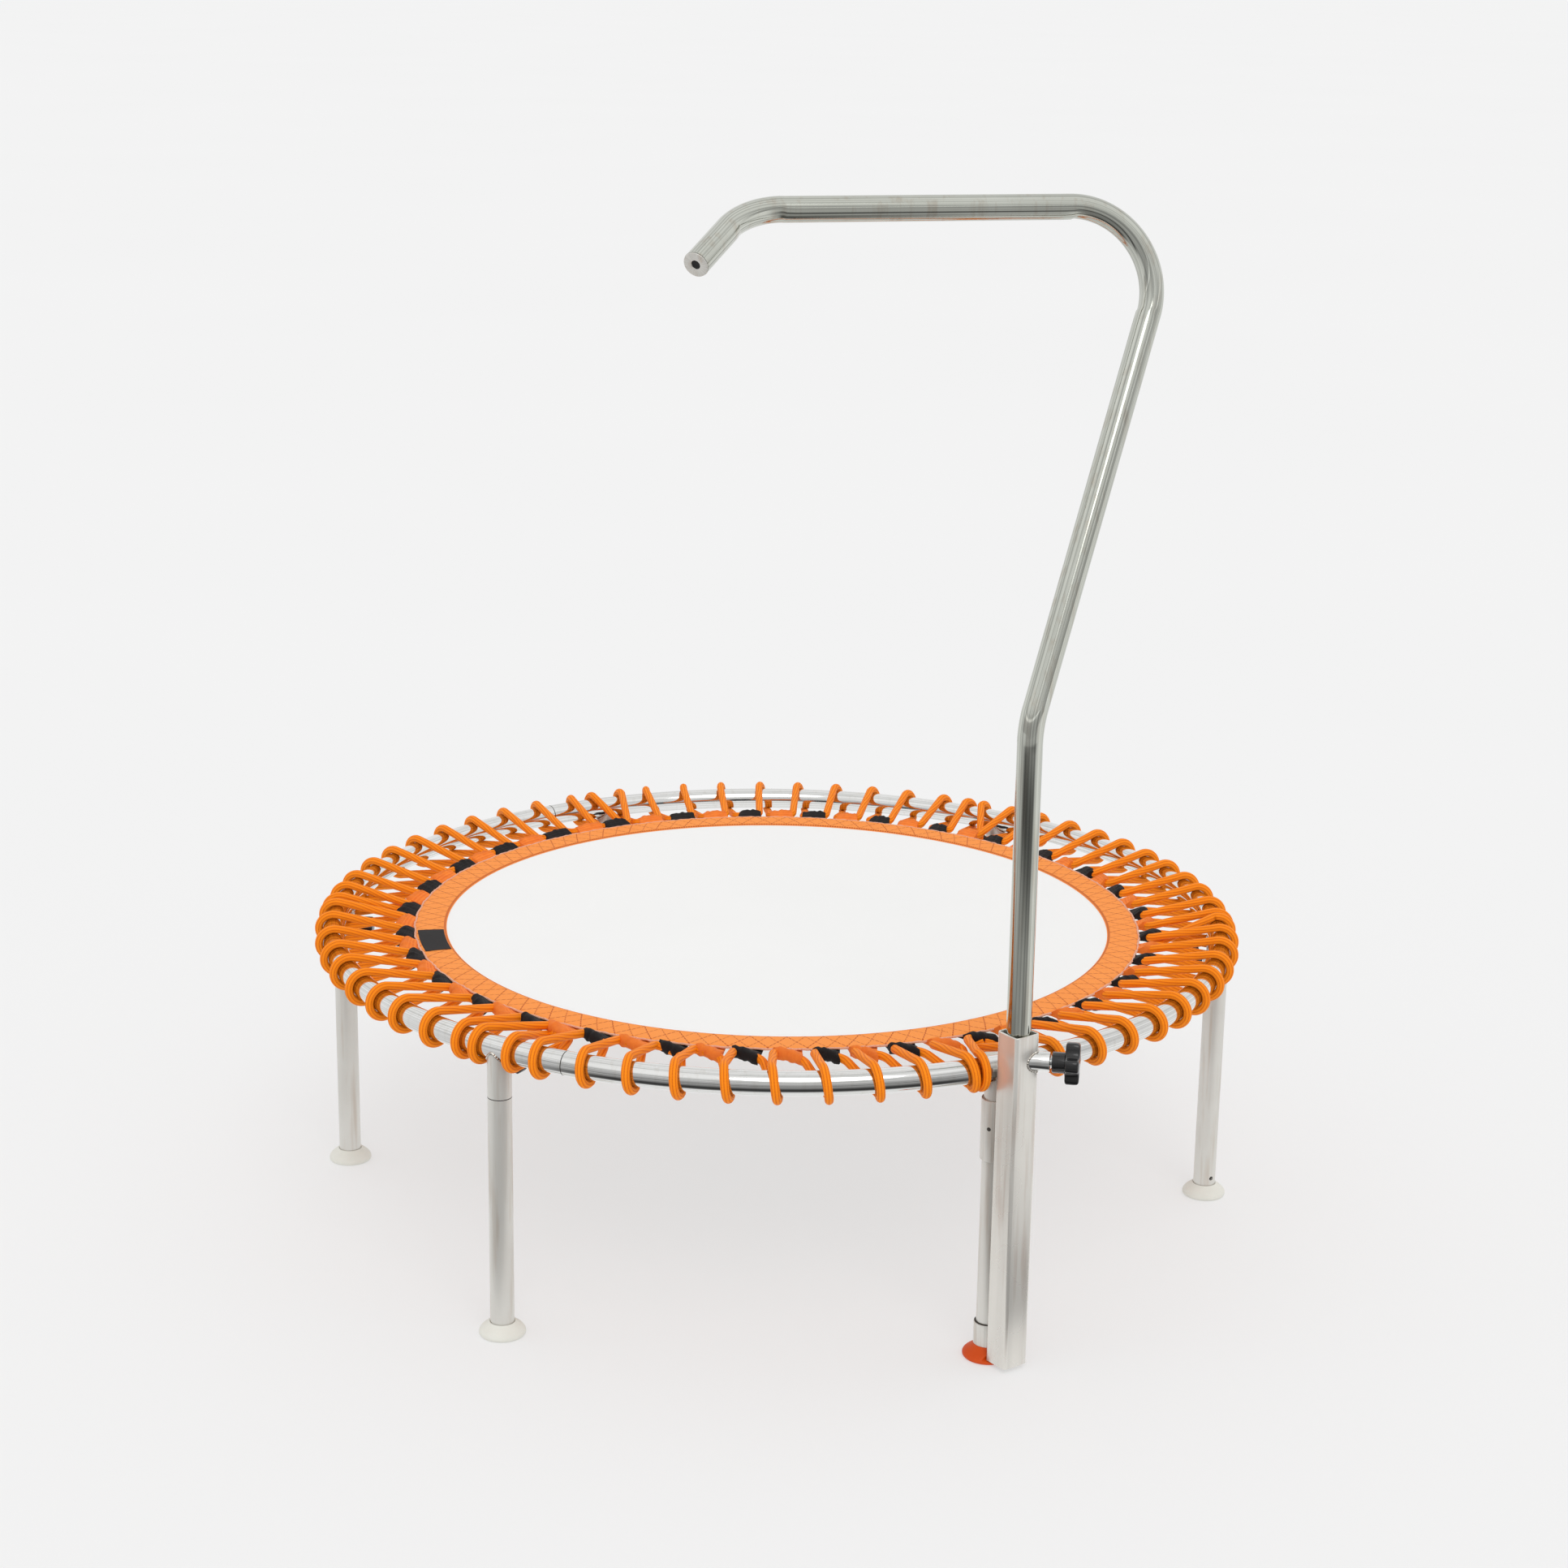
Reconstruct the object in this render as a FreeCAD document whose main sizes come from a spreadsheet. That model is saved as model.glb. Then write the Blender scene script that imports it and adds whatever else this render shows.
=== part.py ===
import FreeCAD, Part
import math
import os

import Sketcher
from FreeCAD import Placement, Rotation, Vector

# Mini trampoline for fitness use in and out of the water: a round tubular ring on six
# plug-in legs, a mat laced to it with elastic cord, and a removable handlebar in a square
# socket beside the front leg. Millimetres. The origin is the centre of the mat's top face,
# +Z is up, and the leg that carries the handlebar is on -Y. Angles run anticlockwise seen
# from above, from that leg.

doc = FreeCAD.newDocument("mini_trampoline")

# ---------------------------------------------------------------- driving dimensions
SIZES = [
    ("ring_radius", 500, "ring centreline"),
    ("standing_height", 315, "floor to the mat's top face"),
    ("tube_radius", 12.5, "ring, stubs, legs and handlebar, outside"),
    ("tube_wall", 1.5, "their wall"),
    ("fit_clearance", 0.3, "radial gap where one piece slides in another"),
    ("running_clearance", 0.08, "radial gap where a shaft turns in a hole"),
    ("press_clearance", 0.1, "radial gap of pieces that are pressed or welded in"),
    ("ring_level", -0.6, "ring centreline from the mat's top face"),
    ("seam_angle", 9.2, "first seam past the leg at 60 degrees"),
    ("seam_gap", 0.4, "open line of a ring seam"),
    ("sleeve_length", 90, "inner sleeve that joins two ring segments"),
    ("sleeve_wall", 1.5, "its wall"),
    ("stub_drop", 51.8, "ring centreline down to the open end of a leg stub"),
    ("stub_trim", 4, "stub top below the ring centreline"),
    ("spigot_length", 34, "swaged end of a leg inside its stub"),
    ("seat_gap", 0.3, "hairline between stub and leg"),
    ("hole_radius", 2.5, "drain hole of a leg"),
    ("hole_height", 23, "drain hole above the floor"),
    ("foot_radius", 24.3, "white foot"),
    ("handle_foot_radius", 25.6, "orange foot"),
    ("foot_height", 14.5, "both feet"),
    ("foot_seat", 6, "rubber under the leg tube"),
    ("boss_drop", 24.3, "ring centreline down to a leg's clamping screw"),
    ("boss_radius", 6.2, "threaded boss on a stub"),
    ("boss_length", 3, "boss beyond the stub's wall"),
    ("stud_radius", 4, "clamping screws"),
    ("knob_gap", 1.2, "bare thread between boss and knob"),
    ("leg_knob_radius", 11, "leg knob over its lobes"),
    ("leg_knob_hub", 6.5, "its hub"),
    ("leg_knob_neck", 4, "its hub before the lobes"),
    ("leg_knob_lobe", 8, "width of one of its lobes"),
    ("leg_knob_depth", 13, "its lobes along the axis"),
    ("handle_knob_radius", 21, "socket knob over its lobes"),
    ("handle_knob_hub", 10.5, "its hub"),
    ("handle_knob_neck", 13, "its hub before the lobes"),
    ("handle_knob_lobe", 13, "width of one of its lobes"),
    ("handle_knob_depth", 14, "its lobes along the axis"),
    ("mat_radius", 410, "mat and outer edge of its border"),
    ("mat_thickness", 1.2, "mat fabric"),
    ("border_width", 35, "webbing border"),
    ("border_thickness", 1.5, "webbing border above the mat's face"),
    ("border_sink", 0.1, "webbing border pressed into the mat's hem"),
    ("label_inset", 6, "label from the border's inner edge"),
    ("label_width", 20, "label across the border"),
    ("label_angle", -102.5, "middle of the label"),
    ("label_sweep", 10, "label round the border"),
    ("label_thickness", 0.5, "label"),
    ("tab_count", 64, "lacing tabs round the mat"),
    ("tab_offset", 3.2, "first tab past the handle leg"),
    ("tab_line", 424, "radius of the cord's run inside the tabs"),
    ("tab_width", 28, "strap of a tab"),
    ("tab_throat", 12, "folded loop of a tab, round the cord"),
    ("tab_tail", 18, "strap under the mat"),
    ("strap_thickness", 2.2, "doubled strap"),
    ("strap_ply", 1.5, "strap round the cord"),
    ("cord_radius", 4.9, "elastic cord"),
    ("cord_bend", 8, "cord centreline where it leaves a tab"),
    ("cord_lead", 1.5, "straight cord between a tab and that bend"),
    ("cord_gap", 0.7, "cord off the ring"),
    ("leg_pass", 2.4, "wraps each side of a leg, in degrees from it"),
    ("handle_pass", 3.2, "wrap beside the handlebar socket"),
    ("wrap_gap", 2.2, "least angle between two wraps"),
    ("wrap_stagger", 0.85, "lower end of a leg's second wrap past its tab's middle"),
    ("socket_side", 30, "square socket tube"),
    ("socket_wall", 2, "its wall"),
    ("socket_corner", 3.5, "its outer corner radius"),
    ("socket_top", 46, "open mouth above the mat's top face"),
    ("socket_foot", 5, "socket above the floor"),
    ("socket_swing", 10, "socket turned about the handle leg"),
    ("band_wall", 2, "the two rings that hold the socket on the leg"),
    ("upper_band_length", 65, "upper ring"),
    ("lower_band_length", 24, "lower ring"),
    ("band_gap", 1.4, "upper ring below the clamping boss"),
    ("socket_cap_thickness", 3, "plate that closes the socket"),
    ("barrel_drop", 29, "socket mouth down to the clamping barrel"),
    ("barrel_radius", 10, "clamping barrel"),
    ("barrel_reach", 32, "barrel's end from the socket's axis"),
    ("guide_height", 20, "square guide at the foot of the handlebar"),
    ("guide_spigot", 25, "its round pin inside the handlebar"),
    ("handle_bend_level", 357.5, "first bend above the mat's top face"),
    ("grip_level", 832, "grip bar above the mat's top face"),
    ("grip_inset", 150, "grip bar inwards of the socket"),
    ("grip_reach_right", 221, "grip bar's corner beside the mast"),
    ("grip_reach_left", 216, "grip bar's corner at its free end"),
    ("grip_turn", -10.3, "grip bar turned from the ring's tangent"),
    ("bend_radius", 78, "handlebar bends, centreline"),
    ("tip_length", 101, "free end from its corner"),
    ("tip_turn", 35.5, "free end turned outwards from square across"),
    ("tip_fall", 25, "free end below level, in degrees"),
    ("cap_thickness", 1.6, "cap of the handlebar's free end"),
    ("cap_plug", 8, "cap inside the tube"),
    ("cap_hole", 4.5, "hole in the cap, radius"),
]

sheet = doc.addObject("Spreadsheet::Sheet", "Sizes")
for row, (alias, value, meaning) in enumerate(SIZES, start=1):
    sheet.set(f"A{row}", meaning)
    sheet.set(f"B{row}", str(value))
    sheet.setAlias(f"B{row}", alias)
doc.recompute()

LEGS = 6
SEGMENTS = 3
LOBES = 4
HANDLE_LEG = 1
pieces = []


def size(alias):
    """A driving dimension as a plain number."""
    return float(getattr(sheet, alias))


def primitive(kind, name, turned=None, at=None, **cells):
    """A Part primitive whose properties and place follow the sheet's cells."""
    solid = doc.addObject("Part::" + kind, name)
    if turned:
        solid.Placement = Placement(Vector(), turned)
    for axis, expression in (at or {}).items():
        solid.setExpression("Placement.Base." + axis, expression)
    for cell, expression in cells.items():
        solid.setExpression(cell, expression)
    return solid


def cut(name, base, tool):
    """The base less the tool."""
    solid = doc.addObject("Part::Cut", name)
    solid.Base = base
    solid.Tool = tool
    return solid


def fuse(name, *solids):
    """One solid of several that touch."""
    solid = doc.addObject("Part::MultiFuse", name)
    solid.Shapes = list(solids)
    return solid


def piece(solid, label, placement=None):
    """Names a finished sub-part and puts it in its place."""
    solid.Label = label
    if placement:
        solid.Placement = placement
    pieces.append(solid)
    return solid


def shape_piece(label, shape, placement=None):
    """A sub-part whose shape is worked out by Part's own functions."""
    feature = doc.addObject("Part::Feature", label)
    feature.Shape = shape
    return piece(feature, label, placement)


def group(label, solids):
    """A sub-part made of several like solids."""
    compound = doc.addObject("Part::Compound", label)
    compound.Links = solids
    return piece(compound, label)


def about_z(angle):
    """A turn about the ring's axis."""
    return Rotation(Vector(0, 0, 1), angle)


def leg_turn(number):
    """The place of leg number 1 to 6, from that of leg 1 on -Y."""
    return Placement(Vector(), about_z(360 / LEGS * (number - 1)))


def polar(radius, angle, level):
    """A point by its radius, its angle from the handle leg and its level."""
    turn = math.radians(angle)
    return Vector(radius * math.sin(turn), -radius * math.cos(turn), level)


INWARD = Rotation(Vector(1, 0, 0), -90)
BORE = "Sizes.tube_radius - Sizes.tube_wall"
STUB_BOTTOM = "Sizes.ring_level - Sizes.stub_drop"
FLOOR = "-Sizes.standing_height"
LEG_AXIS = {"y": "-Sizes.ring_radius"}
BOSS_LEVEL = "Sizes.ring_level - Sizes.boss_drop"

# ---------------------------------------------------------------- ring
# Three bent tubes, butted over inner sleeves.
seam_share = math.degrees(size("seam_gap") / size("ring_radius"))
segment_sweep = 360 / SEGMENTS - seam_share
sleeve_sweep = math.degrees(size("sleeve_length") / size("ring_radius"))


def ring_arc(name, radius_cell, sweep):
    """A solid arc of the ring's centreline circle, starting on +X."""
    arc = primitive("Torus", name, Radius1="Sizes.ring_radius", Radius2=radius_cell)
    arc.Angle1 = -180
    arc.Angle2 = 180
    arc.Angle3 = sweep
    return arc


def ring_place(start):
    """Turns an arc from +X to a start angle, at the ring's level."""
    return Placement(Vector(0, 0, size("ring_level")), about_z(start - 90))


sleeves = []
for number in range(1, SEGMENTS + 1):
    seam = 360 / LEGS + size("seam_angle") + 360 / SEGMENTS * (number - 1)
    outside = ring_arc(f"segment_outside_{number}", "Sizes.tube_radius", segment_sweep)
    inside = ring_arc(f"segment_inside_{number}", BORE, segment_sweep)
    segment = cut(f"rim_segment_{number}", outside, inside)
    piece(segment, f"rim_segment_{number}", ring_place(seam + seam_share / 2))
    outer = ring_arc(f"sleeve_outer_{number}", BORE + " - Sizes.press_clearance", sleeve_sweep)
    inner = ring_arc(
        f"sleeve_inner_{number}",
        BORE + " - Sizes.press_clearance - Sizes.sleeve_wall",
        sleeve_sweep,
    )
    sleeve = cut(f"sleeve_{number}", outer, inner)
    sleeve.Placement = ring_place(seam - sleeve_sweep / 2)
    sleeves.append(sleeve)
group("rim_joint_sleeves", sleeves)

# ---------------------------------------------------------------- leg stubs and bosses
# Short tubes notched to the ring and welded under it, each with a threaded boss inwards.
bosses = []
for number in range(1, LEGS + 1):
    outside = primitive(
        "Cylinder", f"stub_outside_{number}", at={"z": STUB_BOTTOM, **LEG_AXIS},
        Radius="Sizes.tube_radius", Height="Sizes.stub_drop - Sizes.stub_trim",
    )
    bore = primitive(
        "Cylinder", f"stub_bore_{number}", at={"z": STUB_BOTTOM, **LEG_AXIS},
        Radius=BORE, Height="Sizes.stub_drop",
    )
    ring = primitive(
        "Torus", f"stub_notch_{number}", at={"z": "Sizes.ring_level"},
        Radius1="Sizes.ring_radius", Radius2="Sizes.tube_radius",
    )
    tap = primitive(
        "Cylinder", f"stub_tap_{number}", turned=INWARD,
        at={"z": BOSS_LEVEL, **LEG_AXIS},
        Radius="Sizes.stud_radius + Sizes.running_clearance",
        Height="Sizes.tube_radius + Sizes.boss_length",
    )
    stub = cut(f"leg_stub_{number}", outside, fuse(f"stub_tools_{number}", bore, ring, tap))
    piece(stub, f"leg_stub_{number}", leg_turn(number))

    collar = primitive(
        "Cylinder", f"boss_outside_{number}", turned=INWARD,
        at={"z": BOSS_LEVEL, **LEG_AXIS},
        Radius="Sizes.boss_radius", Height="Sizes.tube_radius + Sizes.boss_length",
    )
    tube = primitive(
        "Cylinder", f"boss_notch_{number}", at={"z": STUB_BOTTOM, **LEG_AXIS},
        Radius="Sizes.tube_radius", Height="Sizes.stub_drop",
    )
    thread = primitive(
        "Cylinder", f"boss_thread_{number}", turned=INWARD,
        at={"z": BOSS_LEVEL, **LEG_AXIS},
        Radius="Sizes.stud_radius + Sizes.running_clearance",
        Height="Sizes.tube_radius + Sizes.boss_length",
    )
    boss = cut(f"boss_{number}", collar, fuse(f"boss_tools_{number}", tube, thread))
    boss.Placement = leg_turn(number)
    bosses.append(boss)
group("leg_clamp_bosses", bosses)

# ---------------------------------------------------------------- legs
# Straight tubes with a swaged upper end that plugs into the stub.
LEG_BOTTOM = FLOOR + " + Sizes.foot_seat"
LEG_TOP = STUB_BOTTOM + " - Sizes.seat_gap"
LEG_LENGTH = f"({LEG_TOP}) - ({LEG_BOTTOM})"
SPIGOT_RADIUS = BORE + " - Sizes.fit_clearance"
DRAIN_TURN = -56

for number in range(1, LEGS + 1):
    shank = primitive(
        "Cylinder", f"leg_shank_{number}", at={"z": LEG_BOTTOM, **LEG_AXIS},
        Radius="Sizes.tube_radius", Height=LEG_LENGTH,
    )
    spigot = primitive(
        "Cylinder", f"leg_spigot_{number}", at={"z": LEG_TOP, **LEG_AXIS},
        Radius=SPIGOT_RADIUS, Height="Sizes.spigot_length",
    )
    hollow = primitive(
        "Cylinder", f"leg_hollow_{number}", at={"z": LEG_BOTTOM, **LEG_AXIS},
        Radius=SPIGOT_RADIUS + " - Sizes.tube_wall",
        Height=LEG_LENGTH + " + Sizes.spigot_length",
    )
    drain = primitive(
        "Cylinder", f"leg_drain_{number}",
        turned=about_z(DRAIN_TURN).multiply(Rotation(Vector(1, 0, 0), 90)),
        at={"z": FLOOR + " + Sizes.hole_height", **LEG_AXIS},
        Radius="Sizes.hole_radius", Height="Sizes.tube_radius + Sizes.fit_clearance",
    )
    solid = fuse(f"leg_solid_{number}", shank, spigot)
    leg = cut(f"leg_{number}", solid, fuse(f"leg_tools_{number}", hollow, drain))
    piece(leg, f"leg_{number}", leg_turn(number))

# ---------------------------------------------------------------- feet
# Moulded rubber: a low flared dome that the leg tube stands in. The handlebar leg's foot
# is trimmed flat where the socket stands beside it.
socket_near_side = size("tube_radius") + size("fit_clearance") + size("band_wall")


def axis_profile(body, name, corners):
    """A closed sketch on the body's XZ plane, its corners tied to sheet cells.

    Each corner is (x, z, x cells, z cells); an empty cell text puts it on the axis."""
    plane = [f for f in body.Origin.OriginFeatures if f.Role == "XZ_Plane"][0]
    sketch = body.newObject("Sketcher::SketchObject", name)
    sketch.AttachmentSupport = (plane, [""])
    sketch.MapMode = "FlatFace"
    points = [Vector(x, z, 0) for x, z, _, _ in corners]
    count = len(points)
    for index in range(count):
        sketch.addGeometry(Part.LineSegment(points[index], points[(index + 1) % count]))
    for index in range(count):
        sketch.addConstraint(
            Sketcher.Constraint("Coincident", index, 2, (index + 1) % count, 1)
        )
    for index, (_, _, x_cells, z_cells) in enumerate(corners):
        for kind, cells, axis in (("DistanceX", x_cells, -2), ("DistanceY", z_cells, -1)):
            if not cells:
                sketch.addConstraint(Sketcher.Constraint("PointOnObject", index, 1, axis))
                continue
            tie = sketch.addConstraint(Sketcher.Constraint(kind, -1, 1, index, 1, 1.0))
            sketch.setExpression(f"Constraints[{tie}]", cells)
    return sketch


def foot(number, radius_cell, shoulder_share):
    """A revolved foot; the shoulder's share of the radius makes it a dome or a cone."""
    radius = size(radius_cell)
    height = size("foot_height")
    seat = size("foot_seat")
    neck = size("tube_radius") + size("press_clearance")
    rim = neck + size("tube_wall")
    edge = height / 5
    waist = height * 3 / 5
    mid = rim + (radius - rim) * shoulder_share
    body = doc.addObject("PartDesign::Body", f"foot_body_{number}")
    sketch = axis_profile(body, f"foot_profile_{number}", [
        (0, 0, "", ""),
        (radius, 0, f"Sizes.{radius_cell} - 1.5", ""),
        (radius, edge, f"Sizes.{radius_cell}", "Sizes.foot_height / 5"),
        (mid, waist,
         f"(Sizes.tube_radius + Sizes.press_clearance + Sizes.tube_wall) * {1 - shoulder_share}"
         f" + Sizes.{radius_cell} * {shoulder_share}", "Sizes.foot_height * 3 / 5"),
        (rim, height,
         "Sizes.tube_radius + Sizes.press_clearance + Sizes.tube_wall", "Sizes.foot_height"),
        (neck, height, "Sizes.tube_radius + Sizes.press_clearance", "Sizes.foot_height"),
        (neck, seat, "Sizes.tube_radius + Sizes.press_clearance", "Sizes.foot_seat"),
        (0, seat, "", "Sizes.foot_seat"),
    ])
    doc.recompute()
    turned = body.newObject("PartDesign::Revolution", f"foot_turned_{number}")
    turned.Profile = sketch
    turned.ReferenceAxis = (sketch, ["V_Axis"])
    turned.Angle = 360
    return body


def foot_place(number):
    """The foot of a leg stands on the floor under it."""
    down = Vector(0, -size("ring_radius"), -size("standing_height"))
    return leg_turn(number).multiply(Placement(down, Rotation()))


trim = doc.addObject("Part::Box", "foot_trim")
trim.setExpression("Length", "Sizes.handle_foot_radius * 4")
trim.setExpression("Width", "Sizes.handle_foot_radius")
trim.setExpression("Height", "Sizes.foot_height * 2")
trim_corner = Vector(
    -2 * size("handle_foot_radius"),
    -size("handle_foot_radius") - socket_near_side + size("fit_clearance"),
    -size("foot_height") / 2,
)
trim_turn = about_z(size("socket_swing"))
trim.Placement = Placement(trim_turn.multVec(trim_corner), trim_turn)
handle_foot = cut("handle_foot", foot(HANDLE_LEG, "handle_foot_radius", 0.45), trim)
piece(handle_foot, f"foot_{HANDLE_LEG}", foot_place(HANDLE_LEG))
for number in range(HANDLE_LEG + 1, LEGS + 1):
    piece(foot(number, "foot_radius", 0.7), f"foot_{number}", foot_place(number))

# ---------------------------------------------------------------- clamping knobs
# A threaded stud moulded into a four-lobed knob; the knob's axis is local +Z.


def knob(label, family, place, reach, tip, first_lobe):
    """A knob whose hub starts at reach on the axis, and a stud from tip into its hub.

    The family is the first word of its sizes: leg_knob or handle_knob. The first lobe
    stands at an angle from local X."""
    stud = doc.addObject("Part::Cylinder", label + "_stud")
    stud.setExpression("Radius", "Sizes.stud_radius")
    stud.Height = reach + size(family + "_neck") - tip
    piece(stud, label + "_stud", place.multiply(Placement(Vector(0, 0, tip), Rotation())))

    radius = f"Sizes.{family}_radius"
    neck = f"Sizes.{family}_neck"
    depth = f"Sizes.{family}_depth"
    hub = primitive("Cylinder", label + "_hub", Radius=f"Sizes.{family}_hub",
                    Height=f"{neck} + {depth}")
    disc = primitive("Cylinder", label + "_disc", at={"z": neck}, Radius=radius, Height=depth)
    arms = []
    for arm in range(LOBES // 2):
        box = doc.addObject("Part::Box", f"{label}_arm_{arm}")
        box.setExpression("Length", radius + " * 2")
        box.setExpression("Width", f"Sizes.{family}_lobe")
        box.setExpression("Height", depth)
        corner = Vector(-size(family + "_radius"), -size(family + "_lobe") / 2,
                        size(family + "_neck"))
        turn = about_z(360 / LOBES * arm + first_lobe)
        box.Placement = Placement(turn.multVec(corner), turn)
        arms.append(box)
    lobes = doc.addObject("Part::MultiCommon", label + "_lobes")
    lobes.Shapes = [disc, fuse(label + "_cross", *arms)]
    socket = primitive("Cylinder", label + "_socket",
                       Radius="Sizes.stud_radius + Sizes.press_clearance",
                       Height=f"{neck} + Sizes.press_clearance")
    solid = fuse(label + "_solid", hub, lobes)
    start = place.multiply(Placement(Vector(0, 0, reach), Rotation()))
    piece(cut(label, solid, socket), label, start)


stud_tip = size("tube_radius") - size("tube_wall")
boss_end = size("tube_radius") + size("boss_length")
boss_level = size("ring_level") - size("boss_drop")
for number in range(1, LEGS + 1):
    inward = Placement(Vector(0, -size("ring_radius"), boss_level), INWARD)
    knob(f"leg_knob_{number}", "leg_knob", leg_turn(number).multiply(inward),
         boss_end + size("knob_gap"), stud_tip, 45)

# ---------------------------------------------------------------- mat
# The hem is pressed a little thinner than the middle; the border lies on it.
middle = primitive("Cylinder", "mat_middle", at={"z": "-Sizes.mat_thickness"},
                   Radius="Sizes.mat_radius - Sizes.border_width - Sizes.fit_clearance",
                   Height="Sizes.mat_thickness")
hem = primitive("Cylinder", "mat_hem", at={"z": "-Sizes.mat_thickness"},
                Radius="Sizes.mat_radius", Height="Sizes.mat_thickness - Sizes.border_sink")
piece(fuse("mat_solid", middle, hem), "mat")
border = cut(
    "border_band",
    primitive("Cylinder", "border_outside", at={"z": "-Sizes.border_sink"},
              Radius="Sizes.mat_radius",
              Height="Sizes.border_thickness + Sizes.border_sink"),
    primitive("Cylinder", "border_inside", at={"z": "-Sizes.border_sink"},
              Radius="Sizes.mat_radius - Sizes.border_width",
              Height="Sizes.border_thickness + Sizes.border_sink"),
)
piece(border, "border_band")

LABEL_INNER = "Sizes.mat_radius - Sizes.border_width + Sizes.label_inset"
label_outside = primitive("Cylinder", "label_outside",
                          Radius=LABEL_INNER + " + Sizes.label_width",
                          Height="Sizes.label_thickness", Angle="Sizes.label_sweep")
label_inside = primitive("Cylinder", "label_inside", Radius=LABEL_INNER,
                         Height="Sizes.label_thickness", Angle="Sizes.label_sweep")
label_start = size("label_angle") - size("label_sweep") / 2 - 90
piece(cut("label_patch", label_outside, label_inside), "label_patch",
      Placement(Vector(0, 0, size("border_thickness")), about_z(label_start)))

# ---------------------------------------------------------------- lacing tabs
# A strap sewn under the mat's edge and folded round the cord.
TAB_COLOURS = ("black_tabs", "orange_tabs")
tab_count = int(size("tab_count"))
tab_pitch = 360 / tab_count
loop_outer = size("cord_radius") + size("fit_clearance") + size("strap_ply")
loop_inner = size("cord_radius") + size("fit_clearance")
strap_top = -size("mat_thickness")


def tab_angle(index):
    """The middle of a tab, counted round from the handle leg."""
    return size("tab_offset") + tab_pitch * index


def tab_shape():
    """A tab on -Y: a loop round the tangential cord run, and its flat tail."""
    line = size("tab_line")
    along = Vector(1, 0, 0)
    throat = size("tab_throat")
    middle = Vector(-throat / 2, -line, size("ring_level"))
    loop = Part.makeCylinder(loop_outer, throat, middle, along)
    width = size("tab_width")
    inner_end = size("mat_radius") - size("tab_tail")
    thickness = size("strap_thickness")
    neck = Part.makeBox(throat, line - inner_end, thickness,
                        Vector(-throat / 2, -line, strap_top - thickness))
    tail = Part.makeBox(width, size("tab_tail"), thickness,
                        Vector(-width / 2, -size("mat_radius"), strap_top - thickness))
    hole = Part.makeCylinder(loop_inner, width * 2, Vector(-width, -line, middle.z), along)
    return loop.fuse([neck, tail]).cut(hole).removeSplitter()


tab = tab_shape()
for colour, label in enumerate(TAB_COLOURS):
    tabs = []
    for index in range(colour, tab_count, len(TAB_COLOURS)):
        copy = tab.copy()
        copy.Placement = Placement(Vector(), about_z(tab_angle(index)))
        tabs.append(copy)
    shape_piece(label, Part.makeCompound(tabs))

# ---------------------------------------------------------------- elastic cord
# One continuous cord: out of a tab, under the ring, round it, over the top and into the
# next tab. At each leg one more turn straddles the stub and goes back to the same tab.
wrap_radius = size("tube_radius") + size("cord_radius") + size("cord_gap")
reach_in = size("ring_radius") - size("tab_line")
leg_slope = math.asin(wrap_radius / reach_in)
WRAP_CORNERS = 3
corner_turn = (math.pi + 2 * leg_slope) / WRAP_CORNERS
corner_radius = wrap_radius / math.cos(corner_turn / 2)
bend_side = size("tab_throat") / 2 + size("cord_bend") + size("cord_lead")
bend_share = math.degrees(bend_side / size("tab_line"))


def rounded_path(points, radii):
    """Straight runs through the points, with a tangent arc at each inner point."""
    edges = []
    start = points[0]
    for before, corner, after, radius in zip(points, points[1:], points[2:], radii):
        back = (before - corner).normalize()
        on = (after - corner).normalize()
        half = back.getAngle(on) / 2
        trim = radius / math.tan(half)
        first = corner + back * trim
        last = corner + on * trim
        toward = (back + on).normalize()
        middle = corner + toward * (radius / math.sin(half) - radius)
        edges.append(Part.LineSegment(start, first).toShape())
        edges.append(Part.Arc(first, middle, last).toShape())
        start = last
    edges.append(Part.LineSegment(start, points[-1]).toShape())
    return Part.Wire(edges)


def swept(path, radius):
    """A round bar along a path."""
    first = path.OrderedEdges[0]
    start = first.valueAt(first.FirstParameter)
    circle = Part.Circle(start, first.tangentAt(first.FirstParameter), radius)
    return path.makePipe(Part.Face(Part.Wire(circle.toShape())))


def wrap_points(angle, drift):
    """The corners of a turn round the ring, from below to above."""
    points = []
    for step in range(WRAP_CORNERS):
        share = step - (WRAP_CORNERS - 1) / 2
        tilt = share * corner_turn
        radius = size("ring_radius") + corner_radius * math.cos(tilt)
        level = size("ring_level") + corner_radius * math.sin(tilt)
        points.append(polar(radius, angle + drift * share, level))
    return points


def lacing_turn(from_tab, to_tab, angle):
    """The cord from the middle of one tab, round the ring, to the middle of another."""
    line = size("tab_line")
    level = size("ring_level")
    start = polar(line, from_tab, level)
    leave = polar(line / math.cos(math.radians(bend_share)), from_tab + bend_share, level)
    enter = polar(line / math.cos(math.radians(bend_share)), to_tab - bend_share, level)
    end = polar(line, to_tab, level)
    drift = 0.6 * (to_tab - from_tab - 2 * bend_share)
    points = [start, leave, *wrap_points(angle, drift), enter, end]
    radii = [size("cord_bend"), *[wrap_radius] * WRAP_CORNERS, size("cord_bend")]
    return swept(rounded_path(points, radii), size("cord_radius"))


def extra_turn(tab_middle, angle):
    """The second turn at a leg; both its ends lie against the outside of the same tab."""
    radius = size("tab_line") + loop_outer + size("cord_radius") + size("fit_clearance")
    spread = size("cord_radius") + size("fit_clearance") / 2
    low = polar(radius, tab_middle + size("wrap_stagger"), size("ring_level") - spread)
    high = polar(radius, tab_middle, size("ring_level") + spread)
    points = [low, *wrap_points(angle, 0), high]
    return swept(rounded_path(points, [wrap_radius] * WRAP_CORNERS), size("cord_radius"))


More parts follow.
